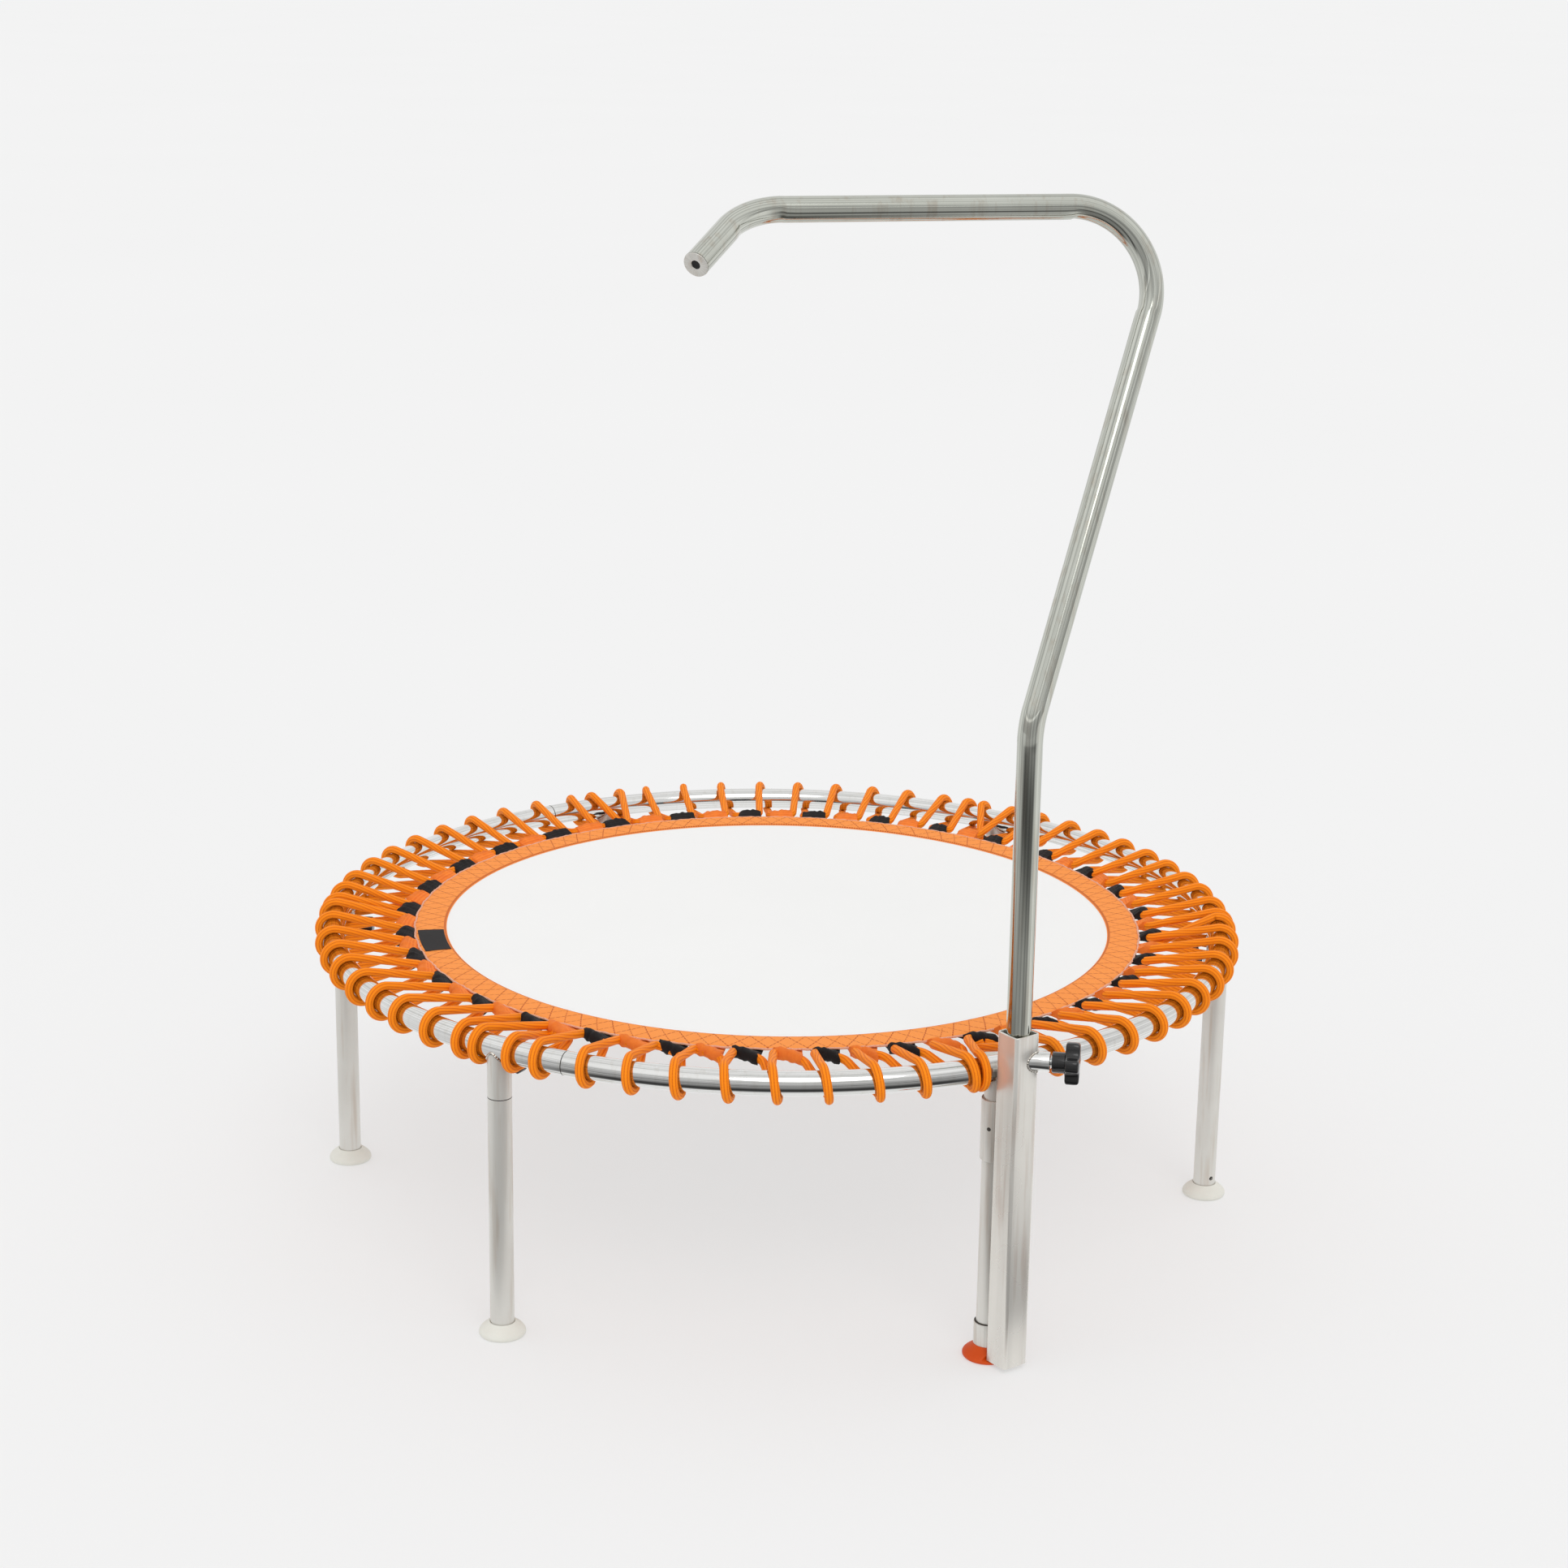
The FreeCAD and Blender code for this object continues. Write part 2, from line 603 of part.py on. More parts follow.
def wraps_in_sector(number):
    """The turns from just before one leg to just before the next, with their tabs."""
    leg = 360 / LEGS * (number - 1)
    next_leg = leg + 360 / LEGS
    first = leg_tab(leg)
    last = leg_tab(next_leg)
    side = size("handle_pass") if number == HANDLE_LEG else size("leg_pass")
    turns = []
    for index in range(first, last):
        angle = tab_angle(index + 0.5)
        if index == first:
            angle = max(angle, leg + side + size("wrap_gap"))
        if index == last - 1:
            angle = min(angle, next_leg - size("leg_pass"))
        turns.append(lacing_turn(tab_angle(index), tab_angle(index + 1), angle))
    turns.append(extra_turn(tab_angle(first), leg + side))
    return turns


def leg_tab(leg):
    """The tab that takes two turns at a leg: the one nearest just past it."""
    return round((leg + 1.5 - size("tab_offset")) / tab_pitch)


for number in range(1, LEGS + 1):
    shape_piece(f"cord_sector_{number}", Part.makeCompound(wraps_in_sector(number)))

# ---------------------------------------------------------------- handlebar socket
# A square tube on two rings that slip over the handle leg. Its local frame stands on the
# leg's axis, turned by the socket's swing, with the socket on local -Y.
swing = Placement(Vector(0, -size("ring_radius"), 0), about_z(size("socket_swing")))
socket_reach = socket_near_side + size("socket_side") / 2
socket_axis = swing.multVec(Vector(0, -socket_reach, 0))
socket_place = Placement(socket_axis, about_z(size("socket_swing")))
socket_bottom = size("socket_foot") - size("standing_height")
SOCKET_HEIGHT = "Sizes.standing_height + Sizes.socket_top - Sizes.socket_foot"


def square_bar(name, side_cells, height_cells, corner, bottom):
    """An upright square bar with rounded edges, centred on its local axis."""
    bar = doc.addObject("Part::Box", name + "_bar")
    bar.setExpression("Length", side_cells)
    bar.setExpression("Width", side_cells)
    bar.setExpression("Height", height_cells)
    bar.setExpression("Placement.Base.x", f"-({side_cells}) / 2")
    bar.setExpression("Placement.Base.y", f"-({side_cells}) / 2")
    bar.Placement.Base.z = bottom
    doc.recompute()
    upright = [
        index + 1
        for index, edge in enumerate(bar.Shape.Edges)
        if abs(edge.tangentAt(edge.FirstParameter).z) > 0.5
    ]
    rounded = doc.addObject("Part::Fillet", name)
    rounded.Base = bar
    rounded.Edges = [(index, corner, corner) for index in upright]
    return rounded


barrel_level = size("socket_top") - size("barrel_drop")
diagonal = about_z(45).multiply(Rotation(Vector(1, 0, 0), 90))
outer_corner = size("socket_corner")
inner_corner = outer_corner - size("socket_wall")
tube_outside = square_bar("socket_outside", "Sizes.socket_side", SOCKET_HEIGHT,
                          outer_corner, socket_bottom)
tube_inside = square_bar("socket_inside", "Sizes.socket_side - 2 * Sizes.socket_wall",
                         SOCKET_HEIGHT, inner_corner, socket_bottom)
tube_tap = primitive("Cylinder", "socket_tap", turned=diagonal,
                     Radius="Sizes.stud_radius + Sizes.running_clearance",
                     Height="Sizes.barrel_reach")
tube_tap.Placement.Base.z = barrel_level
piece(cut("socket_tube", tube_outside, fuse("socket_tools", tube_inside, tube_tap)),
      "socket_tube", socket_place)

cap_bar = square_bar(
    "socket_bottom_cap",
    "Sizes.socket_side - 2 * Sizes.socket_wall - 2 * Sizes.press_clearance",
    "Sizes.socket_cap_thickness", inner_corner, socket_bottom,
)
piece(cap_bar, "socket_bottom_cap", socket_place)

barrel_outside = primitive("Cylinder", "barrel_outside", turned=diagonal,
                           Radius="Sizes.barrel_radius", Height="Sizes.barrel_reach")
barrel_outside.Placement.Base.z = barrel_level
barrel_bore = primitive("Cylinder", "barrel_bore", turned=diagonal,
                        Radius="Sizes.stud_radius + Sizes.running_clearance",
                        Height="Sizes.barrel_reach")
barrel_bore.Placement.Base.z = barrel_level
barrel_notch = square_bar("barrel_notch", "Sizes.socket_side", SOCKET_HEIGHT,
                          outer_corner, socket_bottom)
piece(cut("clamp_barrel", barrel_outside, fuse("barrel_tools", barrel_bore, barrel_notch)),
      "clamp_barrel", socket_place)


def leg_band(label, bottom, length_cell):
    """A ring round the handle leg."""
    radius = "Sizes.tube_radius + Sizes.fit_clearance"
    outside = primitive("Cylinder", label + "_outside", at=LEG_AXIS,
                        Radius=radius + " + Sizes.band_wall", Height=f"Sizes.{length_cell}")
    inside = primitive("Cylinder", label + "_inside", at=LEG_AXIS,
                       Radius=radius, Height=f"Sizes.{length_cell}")
    piece(cut(label, outside, inside), label, Placement(Vector(0, 0, bottom), Rotation()))


upper_band_top = boss_level - size("boss_radius") - size("band_gap")
leg_band("upper_band", upper_band_top - size("upper_band_length"), "upper_band_length")
leg_band("lower_band", size("foot_height") - size("standing_height"), "lower_band_length")

outward = Placement(socket_axis + Vector(0, 0, barrel_level),
                    about_z(size("socket_swing")).multiply(diagonal))
knob("handle_knob", "handle_knob", outward, size("barrel_reach") + size("knob_gap"),
     size("tube_radius") + size("fit_clearance"), 0)

# ---------------------------------------------------------------- handlebar
# A square guide stands in the socket; the bent tube turns on the guide's round pin.
guide_bottom = socket_bottom + size("socket_cap_thickness") + size("fit_clearance")
guide_block = square_bar(
    "guide_block",
    "Sizes.socket_side - 2 * Sizes.socket_wall - 2 * Sizes.fit_clearance",
    "Sizes.guide_height", inner_corner, guide_bottom,
)
guide_pin = primitive("Cylinder", "guide_pin",
                      Radius=BORE + " - Sizes.running_clearance",
                      Height="Sizes.guide_height + Sizes.guide_spigot")
guide_pin.Placement.Base.z = guide_bottom
piece(fuse("handle_guide", guide_block, guide_pin), "handle_guide", socket_place)

handle_bottom = guide_bottom + size("guide_height") + size("fit_clearance")
grip_middle = Vector(0, socket_axis.y + size("grip_inset"), size("grip_level"))
grip_line = about_z(size("grip_turn")).multVec(Vector(1, 0, 0))
mast_corner = grip_middle + grip_line * size("grip_reach_right")
free_corner = grip_middle - grip_line * size("grip_reach_left")
tip_heading = about_z(size("tip_turn")).multVec(Vector(-1, 0, 0))
fall = math.radians(size("tip_fall"))
tip = free_corner + tip_heading * (size("tip_length") * math.cos(fall))
tip.z -= size("tip_length") * math.sin(fall)
first_bend = Vector(socket_axis.x, socket_axis.y, size("handle_bend_level"))
handle_path = rounded_path(
    [Vector(socket_axis.x, socket_axis.y, handle_bottom), first_bend, mast_corner,
     free_corner, tip],
    [size("bend_radius")] * 3,
)
bore_radius = size("tube_radius") - size("tube_wall")
handle_tube = swept(handle_path, size("tube_radius")).cut(swept(handle_path, bore_radius))
shape_piece("handle_tube", handle_tube)

cap_face = Part.makeCylinder(size("tube_radius"), size("cap_thickness"))
cap_plug = Part.makeCylinder(bore_radius - size("press_clearance"), size("cap_plug"),
                             Vector(0, 0, -size("cap_plug")))
cap_through = Part.makeCylinder(size("cap_hole"), size("cap_plug") + size("cap_thickness"),
                                Vector(0, 0, -size("cap_plug")))
end_way = (tip - free_corner).normalize()
shape_piece("handle_end_cap", cap_face.fuse(cap_plug).cut(cap_through).removeSplitter(),
            Placement(tip, Rotation(Vector(0, 0, 1), end_way)))

# ---------------------------------------------------------------- checks and files
doc.recompute()
for item in doc.Objects:
    faults = {"Invalid", "Error"} & set(item.State)
    if faults:
        raise RuntimeError(f"{item.Label} is {faults}")
for item in pieces:
    if item.Shape.isNull() or not item.Shape.isValid() or not item.Shape.Solids:
        raise RuntimeError(f"{item.Label} has no valid solid")

os.makedirs("parts", exist_ok=True)
for item in pieces:
    item.Shape.exportStep(os.path.join("parts", item.Label + ".step"))
print(len(pieces), "sub-parts written")
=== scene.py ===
import bpy
import numpy as np
from mathutils import Matrix


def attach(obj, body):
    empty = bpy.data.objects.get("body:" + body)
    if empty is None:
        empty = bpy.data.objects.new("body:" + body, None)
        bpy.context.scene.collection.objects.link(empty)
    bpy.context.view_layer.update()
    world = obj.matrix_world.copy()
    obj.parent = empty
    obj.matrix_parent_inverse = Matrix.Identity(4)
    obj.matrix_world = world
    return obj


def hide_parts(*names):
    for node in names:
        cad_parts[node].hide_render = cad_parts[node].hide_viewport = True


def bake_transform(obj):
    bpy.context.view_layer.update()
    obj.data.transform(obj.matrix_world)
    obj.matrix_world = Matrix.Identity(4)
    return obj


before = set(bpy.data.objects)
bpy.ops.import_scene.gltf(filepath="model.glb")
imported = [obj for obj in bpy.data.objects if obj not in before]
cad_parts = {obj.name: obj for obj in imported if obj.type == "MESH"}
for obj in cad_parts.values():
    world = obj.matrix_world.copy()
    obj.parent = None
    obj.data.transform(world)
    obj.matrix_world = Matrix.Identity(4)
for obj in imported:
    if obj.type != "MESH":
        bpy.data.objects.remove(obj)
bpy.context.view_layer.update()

# ---------------------------------------------------------------- camera, light and floor
# A pale seamless studio: a wide floor, a white surround with a lamp strip and a darker band
# low down in front, and one soft sun. Polished steel also reflects dark bands laid on the
# floor in front; the floor itself looks plain.
mm = 0.001


def paint(red, green, blue):
    """A display colour, 0 to 255 a channel, as linear light: ((c/255 + 0.055) / 1.055) ** 2.4."""
    return (*(((np.array([red, green, blue]) / 255 + 0.055) / 1.055) ** 2.4).tolist(), 1.0)


def add(tree, kind, sockets=None, **settings):
    """Adds a node; sockets maps an input's name or number to a value or to an output to link."""
    made = tree.nodes.new(kind)
    for key, value in settings.items():
        setattr(made, key, value)
    for key, value in (sockets or {}).items():
        if isinstance(value, bpy.types.NodeSocket):
            tree.links.new(value, made.inputs[key])
        else:
            made.inputs[key].default_value = value
    return made


def calc(tree, operation, first, second=0.0, third=0.0):
    """The output of a Math node on up to three values or outputs."""
    return add(tree, "ShaderNodeMath", {0: first, 1: second, 2: third}, operation=operation).outputs[0]


def ramp(tree, value, stops, smooth=True):
    """A colour ramp; stops are (position, colour)."""
    made = add(tree, "ShaderNodeValToRGB", {0: value})
    made.color_ramp.interpolation = "EASE" if smooth else "LINEAR"
    elements = made.color_ramp.elements
    while len(elements) < len(stops):
        elements.new(0.5)
    for element, (position, colour) in zip(elements, stops):
        element.position = position
        element.color = colour
    return made.outputs[0]


def grey(level):
    return (level, level, level, 1.0)


scene = bpy.context.scene
scene.view_settings.view_transform = "Standard"
camera_data = bpy.data.cameras.new("camera")
camera_data.lens = 67.88
camera_data.sensor_width = 36.0
camera_data.clip_end = 2000.0
camera = bpy.data.objects.new("camera", camera_data)
scene.collection.objects.link(camera)
camera.matrix_world = Matrix((
    (0.89756, 0.10774, -0.42753, -1.4181),
    (-0.44064, 0.25238, -0.86148, -2.8697),
    (0.01508, 0.96161, 0.27400, 1.0733),
    (0, 0, 0, 1)))
scene.camera = camera

world = bpy.data.worlds.new("studio")
scene.world = world
world.use_nodes = True
tree = world.node_tree
tree.nodes.clear()
direction = add(tree, "ShaderNodeSeparateXYZ", {0: add(tree, "ShaderNodeTexCoord").outputs["Generated"]})
towards = calc(tree, "MULTIPLY_ADD", direction.outputs[0], -0.43,
               calc(tree, "MULTIPLY", direction.outputs[1], -0.9))
height = ramp(tree, calc(tree, "MULTIPLY_ADD", direction.outputs[2], 0.5, 0.5), [
    (0.50, grey(0.48)), (0.56, grey(0.50)), (0.618, grey(0.56)), (0.632, grey(1.1)), (0.646, grey(1.1)),
    (0.66, grey(0.62)),
    (0.71, grey(0.80)), (0.80, grey(0.97)), (1.0, grey(0.97))])
side = ramp(tree, calc(tree, "MULTIPLY_ADD", towards, 0.5, 0.5), [
    (0.25, grey(0.0)), (0.75, grey(1.0))])
seen = add(tree, "ShaderNodeMix", {0: side, 6: grey(0.95), 7: height}, data_type="RGBA")
glossy = add(tree, "ShaderNodeLightPath").outputs["Is Glossy Ray"]
mixed = add(tree, "ShaderNodeMix", {0: glossy, 6: grey(0.93), 7: seen.outputs[2]}, data_type="RGBA")
light = add(tree, "ShaderNodeBackground", {0: mixed.outputs[2], 1: 1.0})
add(tree, "ShaderNodeOutputWorld", {0: light.outputs[0]})

sun_data = bpy.data.lights.new("sun", "SUN")
sun_data.energy = 0.55
sun_data.angle = 0.6
sun = bpy.data.objects.new("sun", sun_data)
scene.collection.objects.link(sun)
sun.rotation_euler = (0.62, -0.35, 0.2)

floor_mesh = bpy.data.meshes.new("floor")
floor_mesh.from_pydata([(-200, -200, -0.3152), (200, -200, -0.3152), (200, 200, -0.3152), (-200, 200, -0.3152)],
                       [], [(0, 1, 2, 3)])
floor = bpy.data.objects.new("floor", floor_mesh)
scene.collection.objects.link(floor)
floor_material = bpy.data.materials.new("floor")
floor_material.use_nodes = True
tree = floor_material.node_tree
tree.nodes.clear()
place = add(tree, "ShaderNodeTexCoord").outputs["Object"]
flat = add(tree, "ShaderNodeSeparateXYZ", {0: place})
away = calc(tree, "SQRT", calc(tree, "MULTIPLY_ADD", flat.outputs[0], flat.outputs[0],
            calc(tree, "MULTIPLY", flat.outputs[1], flat.outputs[1])))
rightward = calc(tree, "MULTIPLY_ADD", flat.outputs[0], 0.9, calc(tree, "MULTIPLY", flat.outputs[1], -0.43))
forward = calc(tree, "MULTIPLY_ADD", flat.outputs[0], -0.43, calc(tree, "MULTIPLY", flat.outputs[1], -0.9))
heading = calc(tree, "ARCTAN2", rightward, forward)
sides = ramp(tree, calc(tree, "MULTIPLY_ADD", heading, 0.1592, 0.5), [
    (0.0, grey(0.92)), (0.2, grey(0.90)), (0.36, grey(0.72)), (0.6, grey(0.80)), (0.68, grey(0.98)),
    (0.8, grey(0.95)), (1.0, grey(0.92))])
ahead = ramp(tree, calc(tree, "MULTIPLY", away, 0.1), [
    (0.066, grey(0.16)), (0.073, grey(0.03)), (0.082, grey(0.05)), (0.098, grey(0.16)), (0.14, grey(0.42)),
    (0.18, grey(0.44)), (0.225, grey(0.10)), (0.262, grey(0.12)), (0.32, grey(0.50)), (0.60, grey(0.55)),
    (0.90, grey(0.50))], False)
lobe = ramp(tree, calc(tree, "MULTIPLY_ADD", calc(tree, "ABSOLUTE", heading), 0.3183, 0.0), [
    (0.16, grey(1.0)), (0.36, grey(0.0))])
beyond = add(tree, "ShaderNodeMix", {0: lobe, 6: sides, 7: ahead}, data_type="RGBA")
near = ramp(tree, calc(tree, "MULTIPLY", away, 0.2), [(0.118, grey(0.0)), (0.133, grey(1.0))])
patterned = add(tree, "ShaderNodeMix", {0: near, 6: grey(0.98), 7: beyond.outputs[2]}, data_type="RGBA")
glossy = add(tree, "ShaderNodeLightPath").outputs["Is Glossy Ray"]
# A slow noise lifts the floor's even glow by up to 1.2 per cent, for all but glossy rays.
glow_noise = add(tree, "ShaderNodeTexNoise", {"Vector": place, "Scale": 0.6, "Detail": 2.0}).outputs[0]
plain = calc(tree, "MULTIPLY_ADD", glow_noise, 0.012, 0.412)
emitted = add(tree, "ShaderNodeMix", {0: glossy, 6: plain, 7: patterned.outputs[2]}, data_type="RGBA")
shade = add(tree, "ShaderNodeMix", {0: glossy, 6: grey(0.45), 7: grey(0.0)}, data_type="RGBA")
surface = add(tree, "ShaderNodeBsdfPrincipled", {
    "Base Color": shade.outputs[2], "Roughness": 0.9, "Emission Color": emitted.outputs[2],
    "Emission Strength": 1.0})
surface.inputs["Specular IOR Level"].default_value = 0.0
add(tree, "ShaderNodeOutputMaterial", {0: surface.outputs[0]})
floor_mesh.materials.append(floor_material)

# ---------------------------------------------------------------- handlebar
# A 25 mm polished steel tube bent cold in three places and cut square at its free end. The
# bends are slightly flattened, with small crimps on their inner sides. It stands loose in
# the socket and carries nothing but its end cap.


def skin(name, grids, material, sharp=38):
    """Makes one piece from grids of points in millimetres, each rows by columns by three.

    Quad (i, j) joins (i, j), (i, j+1), (i+1, j+1) and (i+1, j), columns closing on themselves.
    A grid given as ("loop", grid) closes its rows too; any other gets a fan on each end row.
    Faces are reversed where the sum of v0 . (v1 x v2) is negative, so all point outward.
    The UV map holds the distance along the rows in metres and the share of the way round.
    """
    points, faces, places, count = [], [], [], 0
    for entry in grids if isinstance(grids, list) else [grids]:
        loop = isinstance(entry, tuple)
        grid = entry[1] if loop else entry
        rows, columns = grid.shape[:2]
        closed = np.concatenate([grid, grid[:1]]) if loop else grid
        along = np.append(0, np.cumsum(np.linalg.norm(np.diff(closed, axis=0), axis=2).mean(1))) * mm
        i, j = np.meshgrid(np.arange(len(closed) - 1), np.arange(columns), indexing="ij")
        corners = ((0, 0), (0, 1), (1, 1), (1, 0))
        quads = np.stack([(i + a) % rows * columns + (j + b) % columns for a, b in corners], -1).reshape(-1, 4)
        marks = np.stack([np.stack([along[i + a], (j + b) / columns], -1) for a, b in corners], -2).reshape(-1, 4, 2)
        solid = grid.reshape(-1, 3)
        fans = np.zeros((0, 3), int)
        if not loop:
            ring = np.arange(columns)
            last = (rows - 1) * columns + ring
            fans = np.concatenate([
                np.stack([np.full(columns, len(solid)), np.roll(ring, -1), ring], 1),
                np.stack([np.full(columns, len(solid) + 1), last, np.roll(last, -1)], 1)])
            solid = np.concatenate([solid, grid[0].mean(0)[None], grid[-1].mean(0)[None]])
        halves = np.concatenate([quads[:, :3], quads[:, [0, 2, 3]], fans])
        centred = solid - solid.mean(0)
        volume = np.einsum("ij,ij->i", centred[halves[:, 0]],
                           np.cross(centred[halves[:, 1]], centred[halves[:, 2]])).sum()
        if volume < 0:
            quads, marks, fans = quads[:, ::-1], marks[:, ::-1], fans[:, ::-1]
        points.append(solid)
        faces += (quads + count).tolist() + (fans + count).tolist()
        places += [marks.reshape(-1, 2), np.full((fans.size, 2), 0.5)]
        count += len(solid)
    mesh = bpy.data.meshes.new(name)
    mesh.from_pydata((np.concatenate(points) * mm).tolist(), [], faces)
    mesh.uv_layers.new(name="UVMap").data.foreach_set("uv", np.concatenate(places).astype(np.float32).ravel())
    mesh.shade_smooth()
    mesh.set_sharp_from_angle(angle=np.radians(sharp))
    mesh.materials.append(material)
    made = bpy.data.objects.new(name, mesh)
    scene.collection.objects.link(made)
    return made


def unit(vectors):
    return vectors / np.linalg.norm(vectors, axis=-1, keepdims=True)


def tube(path, radius, reference, columns=48):
    """Sweeps a circle along a path: P + r (cos a N + sin a B), N the reference made square to the path.

    radius is a number, or a function of (distance along, angle round) on the same grid."""
    heading = unit(np.gradient(path, axis=0))
    reference = np.broadcast_to(reference, path.shape)
    across = unit(reference - (reference * heading).sum(1, keepdims=True) * heading)
    beside = np.cross(heading, across)
    angle = np.arange(columns) / columns * 2 * np.pi
    if callable(radius):
        along = np.append(0, np.cumsum(np.linalg.norm(np.diff(path, axis=0), axis=1)))
        radius = radius(along[:, None], angle[None])[..., None]
    return path[:, None] + radius * (np.cos(angle)[None, :, None] * across[:, None]
                                     + np.sin(angle)[None, :, None] * beside[:, None])


def bent_path(corners, bend, step):
    """Straight runs joined by arcs of radius bend that touch both runs at each corner."""
    corners = np.array(corners, float)
    parts = []
    start = corners[0]
    for before, corner, after in zip(corners, corners[1:], corners[2:]):
        come, go = unit(corner - before), unit(after - corner)
        turn = np.arccos(come @ go)
        reach = bend * np.tan(turn / 2)
        enter = corner - reach * come
        inward = unit(go - come * (come @ go))
        rows = np.linspace(0, 1, max(2, int(np.linalg.norm(enter - start) / step)), endpoint=False)[:, None]
        parts.append(start + rows * (enter - start))
        angle = np.linspace(0, turn, max(3, int(bend * turn / 3)), endpoint=False)[:, None]
        parts.append(enter + bend * (np.sin(angle) * come + (1 - np.cos(angle)) * inward))
        start = corner + reach * go
    rows = np.linspace(0, 1, max(2, int(np.linalg.norm(corners[-1] - start) / step)))[:, None]
    parts.append(start + rows * (corners[-1] - start))
    return np.concatenate(parts)


def group(name, inputs, outputs, build):
    """A shader node group; build gets the tree and the inputs' sockets and returns the outputs."""
    made = bpy.data.node_groups.new(name, "ShaderNodeTree")
    for label, value in inputs:
        kind = "NodeSocketFloat" if isinstance(value, float) else "NodeSocketVector"
        socket = made.interface.new_socket(label, in_out="INPUT", socket_type=kind)
        if isinstance(value, float):
            socket.default_value = value
    for label in outputs:
        made.interface.new_socket(label, in_out="OUTPUT", socket_type="NodeSocketFloat")
    entry = made.nodes.new("NodeGroupInput")
    result = build(made, {label: entry.outputs[label] for label, _ in inputs})
    leave = made.nodes.new("NodeGroupOutput")
    for label, socket in zip(outputs, result):
        made.links.new(socket, leave.inputs[label])
    return made


def use(tree, made, **inputs):
    """Adds a node group to a material and returns its outputs."""
    entry = add(tree, "ShaderNodeGroup", None, node_tree=made)
    for label, value in inputs.items():
        if isinstance(value, bpy.types.NodeSocket):
            tree.links.new(value, entry.inputs[label])
        else:
            entry.inputs[label].default_value = value
    return entry.outputs


def material(name, build, **constants):
    """A Principled material; build gets the tree and returns the linked inputs, constants are set."""
    made = bpy.data.materials.new(name)
    made.use_nodes = True
    tree = made.node_tree
    tree.nodes.clear()
    surface = add(tree, "ShaderNodeBsdfPrincipled")
    for label, socket in build(tree).items():
        tree.links.new(socket, surface.inputs[label])
    for label, value in constants.items():
        surface.inputs[label.replace("_", " ")].default_value = value
    add(tree, "ShaderNodeOutputMaterial", {0: surface.outputs[0]})
    return made


def blend_colours(tree, share, first, second):
    return add(tree, "ShaderNodeMix", {0: share, 6: first, 7: second}, data_type="RGBA").outputs[2]


def bump(tree, height, distance, strength=1.0):
    return add(tree, "ShaderNodeBump", {"Height": height, "Distance": distance, "Strength": strength}).outputs[0]


def wear_nodes(tree, sockets):
    """Handling marks on metal: cloudy patches, fine scratches and upright runs, each 0 to 1."""
    cloud = add(tree, "ShaderNodeTexNoise", {"Vector": sockets["Place"], "Scale": 14.0, "Detail": 4.0}).outputs[0]
    fine = add(tree, "ShaderNodeMapping", {"Vector": sockets["Place"], "Scale": (900, 900, 60)}).outputs[0]
    scratch = add(tree, "ShaderNodeTexNoise", {"Vector": fine, "Scale": 1.0, "Detail": 2.0}).outputs[0]
    tall = add(tree, "ShaderNodeMapping", {"Vector": sockets["Place"], "Scale": (150, 150, 9)}).outputs[0]
    runs = add(tree, "ShaderNodeTexNoise", {"Vector": tall, "Scale": 1.0, "Detail": 3.0}).outputs[0]
    stain = add(tree, "ShaderNodeMapRange", {0: runs, 1: 0.52, 2: 0.72}).outputs[0]
    return cloud, scratch, stain


wear = group("metal_wear", [("Place", None)], ["Cloud", "Scratch", "Stain"], wear_nodes)


def die_and_reflection_line_nodes(tree, sockets):
    """The lengthwise lines of a drawn tube, partly die lines and partly painted reflection streaks: noise at
    (9 cos v, 9 sin v, 1.5 u) for a place of u metres along and v turns round, stretched to 0 to 1."""
    axes = add(tree, "ShaderNodeSeparateXYZ", {0: sockets["Place"]})
    turn = calc(tree, "MULTIPLY", axes.outputs[1], 2 * np.pi)
    spread = add(tree, "ShaderNodeCombineXYZ", {
        0: calc(tree, "MULTIPLY", calc(tree, "COSINE", turn), 9.0),
        1: calc(tree, "MULTIPLY", calc(tree, "SINE", turn), 9.0),
        2: calc(tree, "MULTIPLY", axes.outputs[0], 1.5)}).outputs[0]
    lines = add(tree, "ShaderNodeTexNoise", {"Vector": spread, "Scale": 1.0, "Detail": 3.0}).outputs[0]
    return (add(tree, "ShaderNodeMapRange", {0: lines, 1: 0.42, 2: 0.66}).outputs[0],)


die_and_reflection_lines = group("die_lines_and_painted_reflection", [("Place", None)], ["Line"], die_and_reflection_line_nodes)


def steel_nodes(light, dark, stain, share, rough, spread, scratch, streak_share=0.0):
    """Steel: colour from light to dark by the cloud, tinted by the runs, dimmed along the lengthwise lines,
    which are die lines and painted reflection streaks; roughness rough + spread * cloud."""
    def build(tree):
        coordinates = add(tree, "ShaderNodeTexCoord")
        marks = use(tree, wear, Place=coordinates.outputs["Object"])
        line = use(tree, die_and_reflection_lines, Place=coordinates.outputs["UV"])["Line"]
        colour = blend_colours(tree, marks["Cloud"], light, dark)
        colour = blend_colours(tree, calc(tree, "MULTIPLY", marks["Stain"], share), colour, stain)
        # Painted reflection: dark lengthwise streaks, partly die lines, copy the bands a polished tube reflects.
        colour = blend_colours(tree, calc(tree, "MULTIPLY", line, streak_share), colour, paint(96, 99, 95))
        return {"Base Color": colour,
                "Roughness": calc(tree, "MULTIPLY_ADD", marks["Cloud"], spread, rough),
                "Normal": bump(tree, marks["Scratch"], scratch)}
    return build


bar_steel = material("bar_steel", steel_nodes(
    paint(214, 216, 208), paint(190, 192, 182), paint(170, 152, 132), 0.35, 0.05, 0.09, 0.000003, 0.55), Metallic=1.0)
mast_x, mast_y = 5.175, -529.347
bar_corners = [(mast_x, mast_y, -286.4), (mast_x, mast_y, 357.5), (217.4, -418.9, 832.0),
               (-212.5, -340.7, 832.0), (-287.0, -393.9, 789.3)]
bar_path = bent_path(bar_corners, 78.0, 8.0)
bar_reference = np.array([0.3, 0.9, -0.3])


